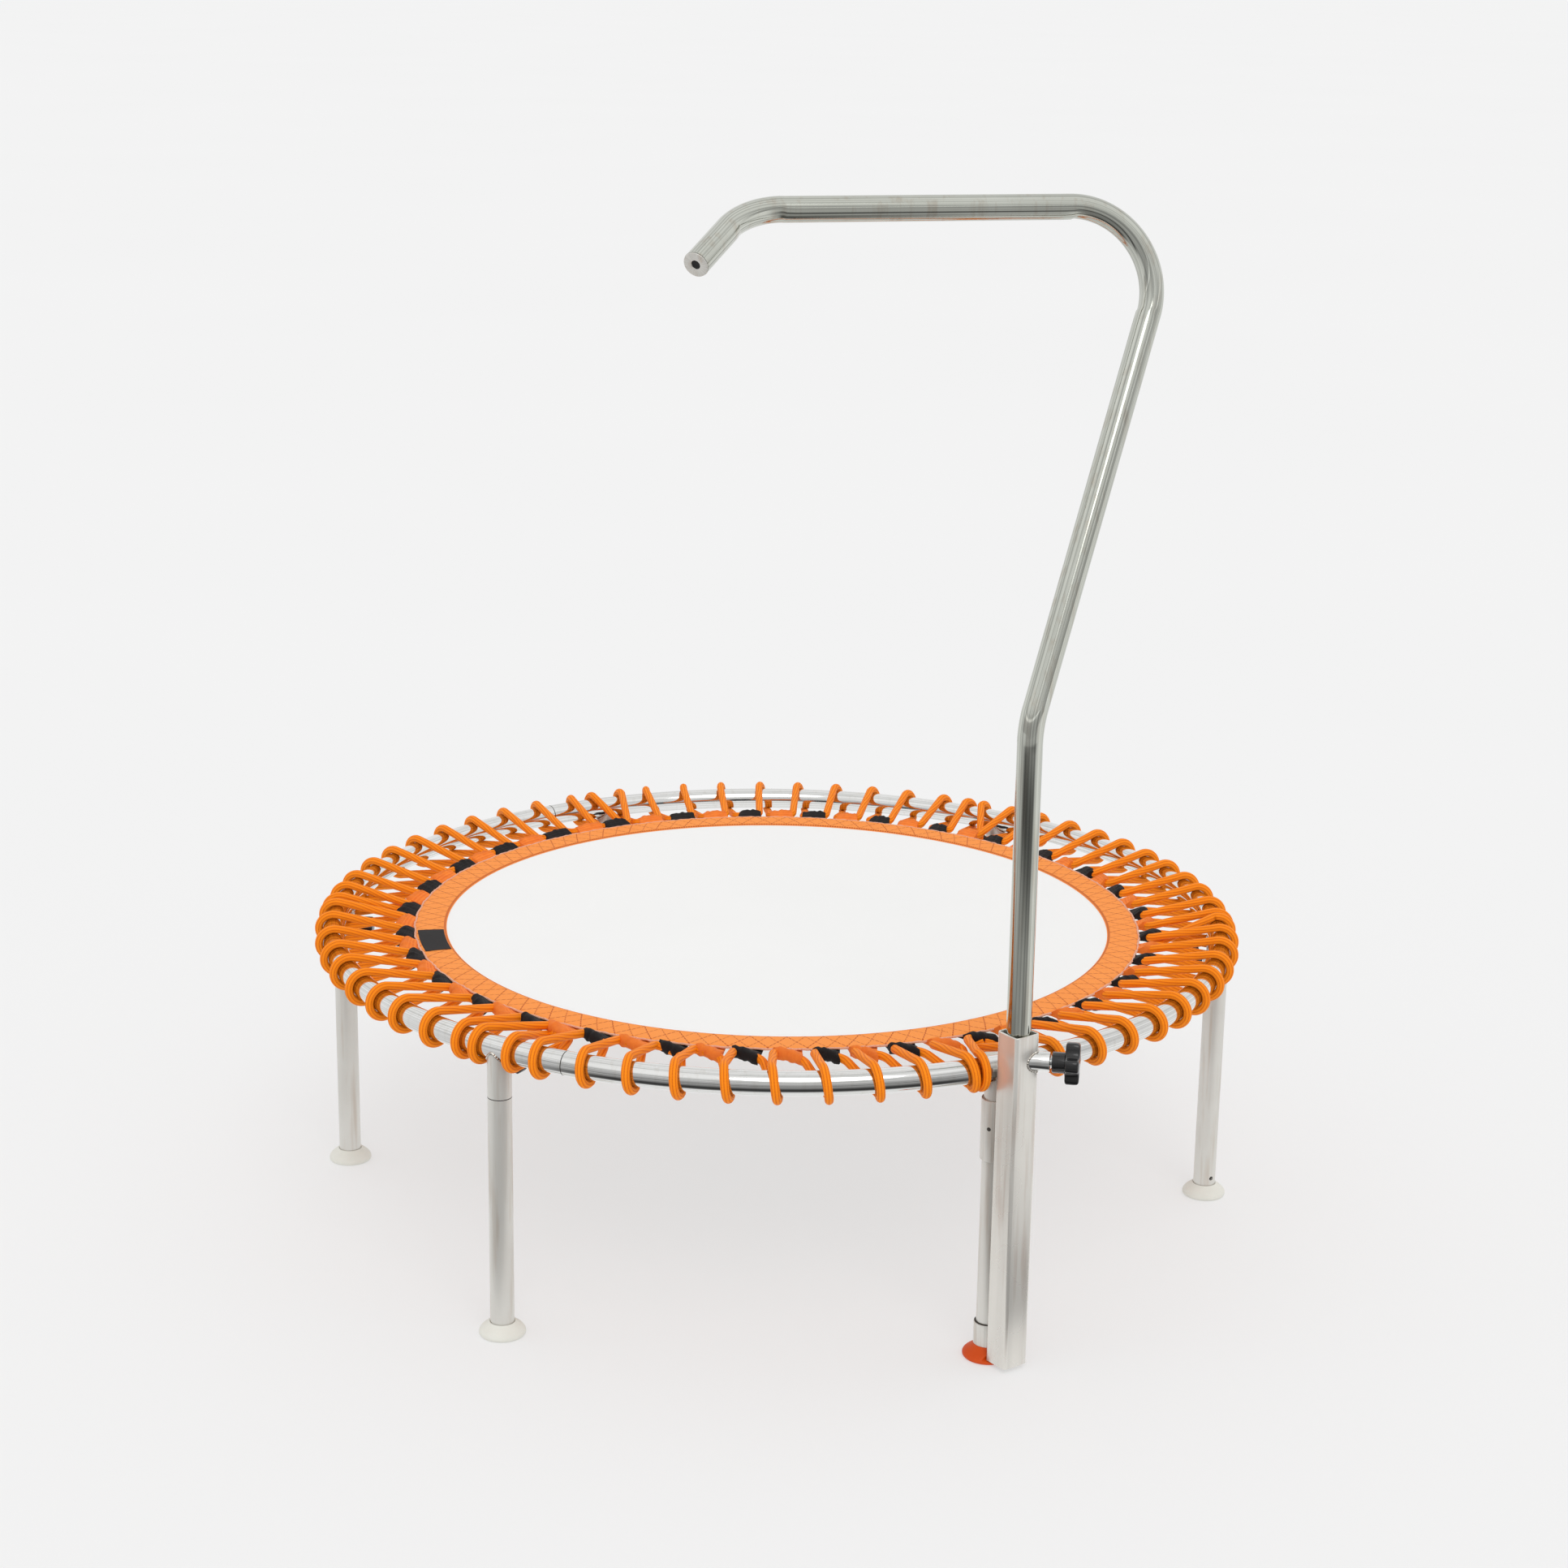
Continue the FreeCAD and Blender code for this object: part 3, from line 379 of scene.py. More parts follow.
def bar_radius(along, angle):
    """12.5 mm, pressed in by up to 1.3 mm on the inner side of each bend with a sharp step where the
    bender's die ended, and spread 0.3 mm sideways there."""
    heading = unit(np.gradient(bar_path, axis=0))
    curve = np.gradient(heading, axis=0)
    bending = (np.linalg.norm(curve, axis=1) > 0.6 * np.linalg.norm(curve, axis=1).max()).astype(float)
    bending = np.convolve(bending, [0.15, 0.7, 0.15], "same")[:, None]
    across = unit(bar_reference - (heading @ bar_reference)[:, None] * heading)
    beside = np.cross(heading, across)
    smooth = lambda row: np.convolve(row, np.ones(9) / 9, "same")
    inner = np.arctan2(smooth((curve * beside).sum(1)), smooth((curve * across).sum(1)))[:, None]
    facing = np.maximum(0, np.cos(angle - inner)) ** 2
    return 12.5 + bending * (0.3 * np.sin(angle - inner) ** 2 - 1.3 * facing)


bar = skin("handlebar_tube", tube(bar_path, bar_radius, bar_reference, 64), bar_steel)
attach(bar, "handlebar")
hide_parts("handle_tube")

# ---------------------------------------------------------------- handlebar end cap
# A pale pressed metal disc with a rolled rim and a centre hole, pushed into the free end. A dark disc in the hole is
# painted shade for the tube's bore.


def lathe(profile, origin=(0, 0, 0), axis=(0, 0, 1), columns=64, shape=None):
    """Turns a profile of (radius, distance) rows round an axis: O + d A + r (cos a N + sin a B).

    shape, if given, changes the radius grid by the angle: shape(radius, angle, distance)."""
    profile = np.array(profile, float)
    axis = unit(np.array(axis, float))
    helper = np.array([0.0, 0.0, 1.0]) if abs(axis[2]) < 0.9 else np.array([1.0, 0.0, 0.0])
    across = unit(helper - (helper @ axis) * axis)
    beside = np.cross(axis, across)
    angle = np.arange(columns)[None] / columns * 2 * np.pi
    radius = profile[:, :1] + 0 * angle
    distance = profile[:, 1:] + 0 * angle
    if shape:
        radius, distance = shape(radius, angle, distance)
    return (np.array(origin, float) + distance[..., None] * axis
            + radius[..., None] * (np.cos(angle)[..., None] * across + np.sin(angle)[..., None] * beside))


def rounded(profile, radius=0.6, steps=4):
    """Rounds each inner corner of a profile with a quadratic curve reaching radius along its sides."""
    profile = np.array(profile, float)
    before, corner, after = profile[:-2], profile[1:-1], profile[2:]
    reach = np.minimum(radius, 0.45 * np.minimum(np.linalg.norm(corner - before, axis=1),
                                                 np.linalg.norm(after - corner, axis=1)))[:, None]
    start, end = corner + reach * unit(before - corner), corner + reach * unit(after - corner)
    t = np.linspace(0, 1, steps)[None, :, None]
    curves = (1 - t) ** 2 * start[:, None] + 2 * t * (1 - t) * corner[:, None] + t ** 2 * end[:, None]
    return np.concatenate([profile[:1], curves.reshape(-1, 2), profile[-1:]])


def grain_nodes(tree, sockets):
    """Moulded plastic or rubber: a slow drift of shade, and a fine grain of about half a millimetre."""
    drift = add(tree, "ShaderNodeTexNoise", {"Vector": sockets["Place"], "Scale": 40.0, "Detail": 5.0}).outputs[0]
    grain = add(tree, "ShaderNodeTexNoise", {"Vector": sockets["Place"], "Scale": 1800.0, "Detail": 2.0}).outputs[0]
    return drift, grain


moulded_grain = group("moulded_grain", [("Place", None)], ["Drift", "Grain"], grain_nodes)


def moulded_nodes(light, dark, rough, depth):
    """A moulding: light to dark by the drift, roughness rough + 0.16 drift, and the grain as bumps."""
    def build(tree):
        marks = use(tree, moulded_grain, Place=add(tree, "ShaderNodeTexCoord").outputs["Object"])
        return {"Base Color": blend_colours(tree, marks["Drift"], light, dark),
                "Roughness": calc(tree, "MULTIPLY_ADD", marks["Drift"], 0.16, rough),
                "Normal": bump(tree, marks["Grain"], depth)}
    return build


satin = material("satin_steel", steel_nodes(
    paint(224, 223, 218), paint(208, 205, 198), paint(186, 168, 150), 0.5, 0.3, 0.14, 0.000004, 0.15), Metallic=0.5)
tip_axis = unit(bar_path[-1] - bar_path[-2])
cap_rim = skin("handlebar_end_cap", ("loop", lathe(
    rounded([(4.5, 1.4), (12.2, 1.4), (12.4, 0.2), (10.6, 0.0), (10.4, -7.8), (9.2, -7.8), (9.0, -0.6),
             (4.5, -0.6), (4.5, 1.4), (12.2, 1.4)], 0.5)[1:-1], bar_path[-1], tip_axis)), satin)
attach(cap_rim, "handlebar")
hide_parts("handle_end_cap")
# Painted shade: a thin black disc in the cap's hole stands for the shade inside the tube's bore.
painted_bore_shade = material("painted_bore_shade", moulded_nodes(paint(26, 26, 26), paint(12, 12, 12), 0.6, 0.00002))
bore_shade_disc = skin("handlebar_bore_shade_disc", ("loop", lathe([(0.4, 0.1), (4.45, 0.1), (4.45, 0.45), (0.4, 0.35)],
                                                     bar_path[-1], tip_axis, 32)), painted_bore_shade)
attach(bore_shade_disc, "handlebar")

# ---------------------------------------------------------------- handlebar guide
# The square plug at the foot of the handlebar, hidden in the socket; moulded grey plastic.


def dress(node, made):
    """Gives every material slot of a CAD node this material."""
    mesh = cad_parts[node].data
    mesh.materials.clear()
    mesh.materials.append(made)


grey_plastic = material("grey_plastic", moulded_nodes(paint(120, 120, 118), paint(96, 96, 95), 0.4, 0.00002))
dress("handle_guide", grey_plastic)

# ---------------------------------------------------------------- handle socket
# A 30 mm square polished tube with rounded edges and a filed mouth, welded to the two bands
# and closed by a plate at its foot.


def square_ring(half, corner, levels):
    """Rows of a rounded square outline: each corner an arc with a guard point on the flat either side."""
    turn = np.concatenate([[0], np.linspace(0, np.pi / 2, 9), [np.pi / 2]])
    slide = np.concatenate([[-0.6], np.zeros(9), [0.6]])
    x = half[:, None] - corner[:, None] + corner[:, None] * np.cos(turn) - np.maximum(slide, 0)
    y = half[:, None] - corner[:, None] + corner[:, None] * np.sin(turn) + np.minimum(slide, 0)
    quarters = [(x, y), (-y, x), (-x, -y), (y, -x)]
    outline = np.concatenate([np.stack([a, b, levels[:, None] + 0 * a], -1) for a, b in quarters], 1)
    return outline


def about(points, degrees, origin):
    """Turns points about the vertical by an angle, then moves them to an origin."""
    c, s = np.cos(np.radians(degrees)), np.sin(np.radians(degrees))
    return points @ np.array([[c, s, 0], [-s, c, 0], [0, 0, 1]]) + np.array(origin)


socket_steel = material("socket_steel", steel_nodes(
    paint(230, 228, 222), paint(212, 208, 201), paint(186, 168, 156), 0.5, 0.18, 0.16, 0.000003, 0.12), Metallic=0.62)
socket_axis = (mast_x, mast_y, 0)
socket_rows = np.array([(15.0, 3.5, -310.0), (15.0, 3.5, -309.0), (15.0, 3.5, 45.2), (14.8, 3.4, 45.8),
                        (14.5, 3.2, 46.0), (13.4, 2.0, 46.0), (13.1, 1.7, 45.7), (13.0, 1.6, 45.0),
                        (13.0, 1.6, -309.0), (13.0, 1.6, -310.0)])
socket_piece = skin("socket_tube_square", ("loop", about(
    square_ring(socket_rows[:, 0], socket_rows[:, 1], socket_rows[:, 2]), 10.0, socket_axis)), socket_steel)
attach(socket_piece, "handle_leg_set")
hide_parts("socket_tube")
dress("socket_bottom_cap", satin)

# ---------------------------------------------------------------- clamping barrel and its weld
# A turned steel barrel on the socket's outer corner, tapped for the knob's stud, its foot cut
# to the corner and run round with a weld bead.
clamp_axis = np.array([0.81915, -0.57358, 0.0])
clamp_centre = np.array([mast_x, mast_y, 17.0])


def barrel_foot(radius, angle, distance):
    """Pulls the rows below 19 mm back to the socket's corner: d = 20.2 - r |sin a|, at most 18.6."""
    foot = np.minimum(18.6, 20.2 - radius * np.abs(np.sin(angle)))
    share = np.clip((distance - 12.0) / 8.0, 0, 1)
    return radius, np.where(distance < 20, foot + share * (20.0 - foot), distance)


ring_steel = material("ring_steel", steel_nodes(
    paint(240, 240, 239), paint(222, 222, 219), paint(204, 196, 184), 0.25, 0.04, 0.07, 0.000002, 0.35), Metallic=1.0)
barrel = skin("clamp_barrel_turned", ("loop", lathe(
    [(4.4, 12), (10, 12), (10, 16), (10, 20), (10, 30.9), (9.85, 31.5), (9.5, 31.9), (9.0, 32),
     (5.2, 32), (4.7, 31.8), (4.4, 31.3), (4.4, 20)], clamp_centre, clamp_axis, 56, barrel_foot)), ring_steel)
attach(barrel, "handle_leg_set")
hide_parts("clamp_barrel")


def closed_tube(path, radius, reference, columns=12):
    """A tube on a closed path, for a weld bead or a stitched edge."""
    wrapped = np.concatenate([path[-1:], path, path[:1]])
    heading = unit(wrapped[2:] - wrapped[:-2])
    across = unit(reference - (reference * heading).sum(1, keepdims=True) * heading)
    beside = np.cross(heading, across)
    angle = np.arange(columns)[None, :, None] / columns * 2 * np.pi
    circle = np.cos(angle) * across[:, None] + np.sin(angle) * beside[:, None]
    return path[:, None] + np.reshape(radius, (-1, 1, 1)) * circle


weld_steel = material("weld_bead", steel_nodes(
    paint(226, 222, 214), paint(170, 164, 156), paint(150, 128, 104), 0.6, 0.14, 0.2, 0.00003), Metallic=1.0)
turn = np.arange(180) / 180 * 2 * np.pi
bead_out = np.minimum(19.2, 21.0 - 10.4 * np.abs(np.sin(turn)))
bead_up = np.array([0.0, 0.0, 1.0])
bead_side = np.cross(clamp_axis, bead_up)
bead_path = (clamp_centre + bead_out[:, None] * clamp_axis
             + 10.4 * (np.cos(turn)[:, None] * bead_up + np.sin(turn)[:, None] * bead_side))
barrel_bead = skin("clamp_barrel_weld", ("loop", closed_tube(
    bead_path, 1.3 + 0.22 * np.sin(26 * turn), unit(bead_path - bead_path.mean(0)))), weld_steel)
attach(barrel_bead, "handle_leg_set")

# ---------------------------------------------------------------- socket knob and stud
# A black moulded knob with a round hub and four lobes on a plated stud; one lobe stands up.


def lobes(size, core, width, corner=0.0):
    """A four-lobed outline: arms of that width reach size, joined over a core, by power means of order 8."""
    def shape(radius, angle, distance):
        nearest = (angle - corner + np.pi / 4) % (np.pi / 2) - np.pi / 4
        arm = (size ** -8.0 + (np.abs(np.sin(nearest)) / (width / 2) + 1e-9) ** 8) ** (-1 / 8)
        star = (core ** 8.0 + arm ** 8) ** (1 / 8)
        return np.where(radius > 100, star - (radius - 200) * (star / size), radius), distance
    return shape


knob_black = material("black_plastic", moulded_nodes(paint(20, 20, 21), paint(11, 11, 12), 0.16, 0.00001),
                      Coat_Weight=0.25)
knob = skin("socket_knob_moulded", lathe(
    [(9.2, 34), (10.1, 34.3), (10.5, 35), (10.5, 46.4), (206.5, 46.9), (202.6, 47.0), (200.8, 47.6), (200, 48.8),
     (199.9, 56), (200.2, 59), (201.0, 60.4), (202.6, 61.0), (208, 61.3)], clamp_centre,
    clamp_axis, 96, lobes(21.0, 12.2, 13.0, np.radians(-9))), knob_black, 50)
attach(knob, "handle_grip")
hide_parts("handle_knob")
zinc = material("zinc_steel", steel_nodes(
    paint(214, 216, 214), paint(168, 172, 172), paint(190, 176, 130), 0.5, 0.22, 0.2, 0.00002), Metallic=1.0)
dress("handle_knob_stud", zinc)

# ---------------------------------------------------------------- mat
# A round of white woven polyester mesh, stretched flat and hemmed under the border.


def weave_nodes(tree, sockets):
    """Plain weave: height and shade of threads crossing at the given pitch, over and under in turn."""
    scaled = add(tree, "ShaderNodeVectorMath", {0: sockets["Place"], "Scale": sockets["Threads"]},
                 operation="SCALE").outputs[0]
    axes = add(tree, "ShaderNodeSeparateXYZ", {0: scaled})
    warp = calc(tree, "ABSOLUTE", calc(tree, "SINE", axes.outputs[0]))
    weft = calc(tree, "ABSOLUTE", calc(tree, "SINE", axes.outputs[1]))
    cross = calc(tree, "MULTIPLY", calc(tree, "SINE", axes.outputs[0]), calc(tree, "SINE", axes.outputs[1]))
    over = calc(tree, "MULTIPLY_ADD", cross, 0.5, 0.5)
    height = calc(tree, "ADD", calc(tree, "MULTIPLY", warp, over),
                  calc(tree, "MULTIPLY", weft, calc(tree, "SUBTRACT", 1.0, over)))
    fluff = add(tree, "ShaderNodeTexNoise", {"Vector": sockets["Place"], "Scale": 9.0, "Detail": 3.0}).outputs[0]
    return height, fluff


weave = group("plain_weave", [("Place", None), ("Threads", 2500.0)], ["Height", "Drift"], weave_nodes)


def cloth_nodes(light, dark, threads, depth, rough, coordinates="Object"):
    """Woven cloth: thread tops light and gaps dark, painted shade of the weave, with a slow drift of tone."""
    def build(tree):
        place = add(tree, "ShaderNodeTexCoord").outputs[coordinates]
        woven = use(tree, weave, Place=place, Threads=threads)
        # Painted shade: the gaps between threads are darker than the thread tops.
        colour = blend_colours(tree, woven["Height"], dark, light)
        colour = blend_colours(tree, calc(tree, "MULTIPLY", woven["Drift"], 0.25), colour, dark)
        return {"Base Color": colour, "Roughness": calc(tree, "MULTIPLY_ADD", woven["Drift"], 0.1, rough),
                "Normal": bump(tree, woven["Height"], depth)}
    return build


mat_white = material("white_mesh", cloth_nodes(paint(245, 245, 244), paint(232, 232, 231), 2600.0, 0.00012, 0.55))
mat_piece = skin("mat_fabric", lathe(
    [(0.5, 0.0), (60, 0), (140, 0), (220, 0), (300, 0), (360, 0), (400, 0), (409.6, -0.1), (410, -0.5), (409.6, -1.1),
     (400, -1.2), (360, -1.2), (300, -1.2), (220, -1.2), (140, -1.2), (60, -1.2), (0.5, -1.2)], columns=256), mat_white)
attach(mat_piece, "bounce_mat")
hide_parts("mat")

# ---------------------------------------------------------------- border
# A 35 mm peach-orange webbing band sewn over the mat's edge with crossing zigzags that run
# from edge to edge once a tab, and a straight row along each edge; it puckers a little.


def stitch_nodes(tree, sockets):
    """Stitch marks 0 to 1 on (along, across) with along in tab pitches and across 0 to 1.

    Zigzag: 1 where |across - (0.09 + 0.82 |2 fract(along) - 1|)| is under the thread's width; edge rows
    likewise at 0.05 and 0.95. Dashes cut the thread, from the sine of 75 along."""
    axes = add(tree, "ShaderNodeSeparateXYZ", {0: sockets["Place"]})
    along, across = axes.outputs[0], axes.outputs[1]
    swing = calc(tree, "ABSOLUTE", calc(tree, "MULTIPLY_ADD", calc(tree, "FRACT", along), 2.0, -1.0))
    marks = []
    rising = calc(tree, "MULTIPLY_ADD", swing, 0.82, 0.09)
    falling = calc(tree, "MULTIPLY_ADD", swing, -0.82, 0.91)
    for level in (rising, falling, 0.05, 0.95):
        gap = calc(tree, "ABSOLUTE", calc(tree, "SUBTRACT", across, level))
        marks.append(add(tree, "ShaderNodeMapRange", {0: gap, 1: 0.018, 2: 0.042, 3: 1.0, 4: 0.0}).outputs[0])
    beat = calc(tree, "SINE", calc(tree, "MULTIPLY", along, 75.0))
    dashes = add(tree, "ShaderNodeMapRange", {0: beat, 1: -0.9, 2: -0.5}).outputs[0]
    zigzag = calc(tree, "MAXIMUM", marks[0], calc(tree, "MULTIPLY", marks[1], 0.7))
    return (calc(tree, "MULTIPLY", calc(tree, "MAXIMUM", zigzag, calc(tree, "MAXIMUM", marks[2], marks[3])), dashes),)


stitch = group("border_stitching", [("Place", None)], ["Thread"], stitch_nodes)


def border_nodes(tree):
    marks = add(tree, "ShaderNodeMapping", {"Vector": add(tree, "ShaderNodeTexCoord").outputs["UV"],
                                            "Scale": (64 / 2.4693, 2.0, 1.0)}).outputs[0]
    thread = use(tree, stitch, Place=marks)["Thread"]
    fine = add(tree, "ShaderNodeMapping", {"Vector": add(tree, "ShaderNodeTexCoord").outputs["UV"],
                                           "Scale": (1.0, 0.07, 1.0)}).outputs[0]
    woven = use(tree, weave, Place=fine, Threads=3600.0)
    # Painted shade: the weave's gaps are a deeper orange than its paler thread tops.
    colour = blend_colours(tree, woven["Height"], paint(246, 130, 40), paint(255, 166, 82))
    colour = blend_colours(tree, calc(tree, "MULTIPLY", woven["Drift"], 0.3), colour, paint(246, 136, 54))
    colour = blend_colours(tree, calc(tree, "MULTIPLY", thread, 0.85), colour, paint(186, 70, 20))
    height = calc(tree, "MULTIPLY_ADD", thread, -2.0, woven["Height"])
    return {"Base Color": colour, "Roughness": calc(tree, "MULTIPLY_ADD", woven["Drift"], 0.12, 0.62),
            "Normal": bump(tree, height, 0.00018)}


border_cloth = material("peach_webbing", border_nodes, Specular_IOR_Level=0.25)
turn = np.arange(768)[:, None] / 768 * 2 * np.pi
share = np.linspace(0, 1, 15)[None]
pucker = 0.35 * np.sin(64 * turn + 0.6) * np.sin(np.pi * share) + 0.15 * np.sin(128 * turn + 5 * share)
top_r = 374.6 + 34.8 * share + 0.4 * np.sin(64 * turn) * (share > 0.9) + 0 * turn
top_z = 0.25 + 1.25 * np.clip(np.minimum(share, 1 - share) * 14, 0, 1) ** 0.5 + 0.5 * np.abs(pucker)
under_r, under_z = top_r[:, ::-1], 0.02 + 0 * top_z
border_r = np.concatenate([top_r, under_r], 1)
border_z = np.concatenate([top_z, under_z], 1)
border = skin("mat_border_webbing", ("loop", np.stack(
    [border_r * np.sin(turn), -border_r * np.cos(turn), border_z], -1)), border_cloth)
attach(border, "bounce_mat")
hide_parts("border_band")

# ---------------------------------------------------------------- border edging
# The overlocked outer edge of the border: pinkish-white thread with red flecks showing through.


def edging_nodes(tree):
    place = add(tree, "ShaderNodeTexCoord").outputs["UV"]
    axes = add(tree, "ShaderNodeSeparateXYZ", {0: place})
    slant = calc(tree, "SINE", calc(tree, "MULTIPLY_ADD", axes.outputs[0], 4200.0,
                                    calc(tree, "MULTIPLY", axes.outputs[1], 9.0)))
    flecks = add(tree, "ShaderNodeTexNoise", {"Vector": place, "Scale": 260.0, "Detail": 3.0}).outputs[0]
    red = add(tree, "ShaderNodeMapRange", {0: flecks, 1: 0.54, 2: 0.62}).outputs[0]
    colour = blend_colours(tree, red, paint(244, 190, 160), paint(206, 84, 50))
    return {"Base Color": colour, "Roughness": calc(tree, "MULTIPLY_ADD", flecks, 0.2, 0.6),
            "Normal": bump(tree, slant, 0.0002)}


edging_thread = material("edging_thread", edging_nodes)
turn = np.arange(1024) / 1024 * 2 * np.pi
wobble = 410.0 + 0.5 * np.sin(64 * turn) + 0.25 * np.sin(211 * turn)
edge_path = np.stack([wobble * np.sin(turn), -wobble * np.cos(turn), 0.2 + 0.2 * np.sin(173 * turn)], -1)
edging = skin("mat_border_edging", ("loop", closed_tube(
    edge_path, 1.2 + 0.15 * np.sin(307 * turn), np.array([[0.0, 0.0, 1.0]]) + 0 * edge_path, 10)), edging_thread)
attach(edging, "bounce_mat")

# ---------------------------------------------------------------- blank label
# A plain black woven patch sewn on the border, without any lettering.
label_black = material("black_label", cloth_nodes(paint(30, 27, 28), paint(10, 9, 10), 5200.0, 0.0001, 0.6),
                       Specular_IOR_Level=0.25)
turn = np.radians(np.linspace(-107.6, -97.4, 25))[:, None]
label_r = np.array([378.0, 378.6, 385, 392, 399, 406.4, 407.0, 406.4, 392, 378.6])[None] + 0 * turn
label_z = np.array([1.75, 2.25, 2.32, 2.35, 2.32, 2.25, 1.75, 1.55, 1.55, 1.55])[None] + 0.12 * np.sin(9 * turn)
label = skin("blank_label_patch", np.stack([label_r * np.sin(turn), -label_r * np.cos(turn), label_z], -1), label_black)
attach(label, "bounce_mat")
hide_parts("label_patch")

# ---------------------------------------------------------------- lacing tabs
# Sixty-four cloth tabs, orange and black in turn, folded round the cord and sewn under the
# border. Each is gathered where the cord goes in, wider at the border than at the cord.
leg_tabs = (0, 10, 21, 32, 42, 53)
cord_line = 424.0
chance = np.random.default_rng(11)


def wander(degrees, size, turn, twice_size, twice_turn):
    """A slow drift round the ring: size sin(a + turn) + twice_size sin(2 a + twice_turn), in degrees."""
    return (size * np.sin(np.radians(degrees + turn)) + twice_size * np.sin(np.radians(2 * degrees + twice_turn)))


def tab_angle(number):
    """Where a tab stands: every 5.625 degrees from 3.2 past the handlebar's leg, and the drift."""
    even = 3.2 + 5.625 * number
    return even + wander(even, 1.62, 162, 0.87, -31)


def tab_grid(number):
    """One tab: rows go along the cord, columns round its teardrop section from the border's underside.

    The section is a loop of radius 6.6 round the cord run, reached from a flat tail; the half width
    falls from 17 at the border to 13.5 at the cord. Folds add 0.7 sin(a u + b v + c)."""
    u = np.linspace(-1, 1, 15)[:, None]
    arc = np.radians(np.linspace(118, -128, 19))
    wide = 3.2 if number in leg_tabs else 0.0
    r = np.concatenate([[392, 401, 409, 415.5], cord_line + wide / 2 + (6.6 + wide / 2) * np.cos(arc),
                        [411, 402, 392]])[None]
    z = np.concatenate([[-1.35, -1.35, -1.2, 2.6], -0.6 + 6.6 * np.sin(arc), [-4.0, -3.6, -3.4]])[None]
    loose = np.clip((r - 400) / 24, 0, 1)
    half = 17.0 - 3.8 * loose + 0.8 * chance.standard_normal() * loose
    skew = 2.2 * chance.standard_normal() * loose
    a, b, c, d = chance.uniform(0, 6.28, 4)
    fold = 0.55 * np.sin(7.5 * u + 0.16 * (r - 400) + a) + 0.4 * np.sin(13 * u - 0.22 * (z + 5) + b)
    fold = (fold + 0.3 * np.sin(3 * u + 0.3 * r + c)) * loose * (1 - 0.3 * u ** 2)
    pinch = 1 - 0.16 * np.abs(u) ** 6
    middle_r, middle_z = cord_line + wide / 2, -0.6
    out_r = middle_r + (r - middle_r) * np.where(r > 409, pinch, 1.0) + fold * np.clip((r - middle_r) / 7, -1, 1)
    out_z = middle_z + (z - middle_z) * np.where(r > 409, pinch, 1.0) + fold * np.clip((z - middle_z) / 7, -1, 1)
    out_z = np.where(r < 410.5, np.minimum(out_z, -1.3), out_z)
    out_r = out_r + 5.0 * u * loose
    out_z = out_z - (2.2 * u + 1.2 * u ** 2) * loose
    beside = u * half + skew + 0.5 * np.sin(0.5 * r + 4 * u + d) * loose
    angle = np.radians(tab_angle(number)) + beside / cord_line
    return np.stack([out_r * np.sin(angle), -out_r * np.cos(angle), out_z], -1)


def tape_nodes(tree, sockets):
    """Ribbed tape: ribs 0.5 + 0.5 sin(260 v) round the tab, finer yarn 0.25 sin(5200 u) along it, and
    slow dirt from noise in space."""
    axes = add(tree, "ShaderNodeSeparateXYZ", {0: sockets["Run"]})
    rib = calc(tree, "MULTIPLY_ADD", calc(tree, "SINE", calc(tree, "MULTIPLY", axes.outputs[1], 260.0)), 0.5, 0.5)
    yarn = calc(tree, "MULTIPLY_ADD", calc(tree, "SINE", calc(tree, "MULTIPLY", axes.outputs[0], 5200.0)), 0.25, rib)
    drift = add(tree, "ShaderNodeTexNoise", {"Vector": sockets["Place"], "Scale": 130.0, "Detail": 4.0}).outputs[0]
    return rib, calc(tree, "MULTIPLY_ADD", drift, 1.5, yarn), drift


ribbed_tape = group("ribbed_tape", [("Run", None), ("Place", None)], ["Rib", "Height", "Drift"], tape_nodes)


def webbing_nodes(light, dark, depth):
    """Webbing: light where the drift is high, a random tone, and on the ribs, with painted shade in the hollows between
    them, and the tape's bumps.
    """
    def build(tree):
        coordinates = add(tree, "ShaderNodeTexCoord")
        tape = use(tree, ribbed_tape, Run=coordinates.outputs["UV"], Place=coordinates.outputs["Object"])
        # Painted shade: the rib term darkens the hollows between ribs; the drift term is random tone.
        shade = calc(tree, "MULTIPLY_ADD", tape["Drift"], 0.9, calc(tree, "MULTIPLY", tape["Rib"], 0.3))
        return {"Base Color": blend_colours(tree, shade, dark, light),
                "Roughness": calc(tree, "MULTIPLY_ADD", tape["Drift"], 0.15, 0.6),
                "Normal": bump(tree, tape["Height"], depth)}
    return build


orange_tape = material("orange_webbing", webbing_nodes(paint(255, 142, 52), paint(220, 92, 20), 0.00022),
                       Specular_IOR_Level=0.25)
black_tape = material("black_webbing", webbing_nodes(paint(34, 28, 28), paint(9, 7, 8), 0.0003),
                      Specular_IOR_Level=0.25)
tab_grids = [tab_grid(number) for number in range(64)]
for colour, first, cloth in (("black", 0, black_tape), ("orange", 1, orange_tape)):
    tabs = skin(f"lacing_tabs_{colour}", tab_grids[first::2], cloth, 60)
    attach(tabs, "bounce_mat")
    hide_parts(f"{colour}_tabs")

# ---------------------------------------------------------------- elastic lacing
# One 9 mm braided elastic cord laced from tab to tab, seventy turns round the ring: under it,
# up its outside and back over the top, with a second turn through the same tab at each leg.
# Every turn is its own piece.
ring_radius, ring_level = 500.0, -0.6
cord_radius, wrap_radius = 4.5, 17.1


def spot(radius, degrees, level):
    """The point at a radius and an angle from the handlebar's leg, anticlockwise from above."""
    angle = np.radians(degrees)
    return np.stack([radius * np.sin(angle), -radius * np.cos(angle), level + 0 * angle], -1)


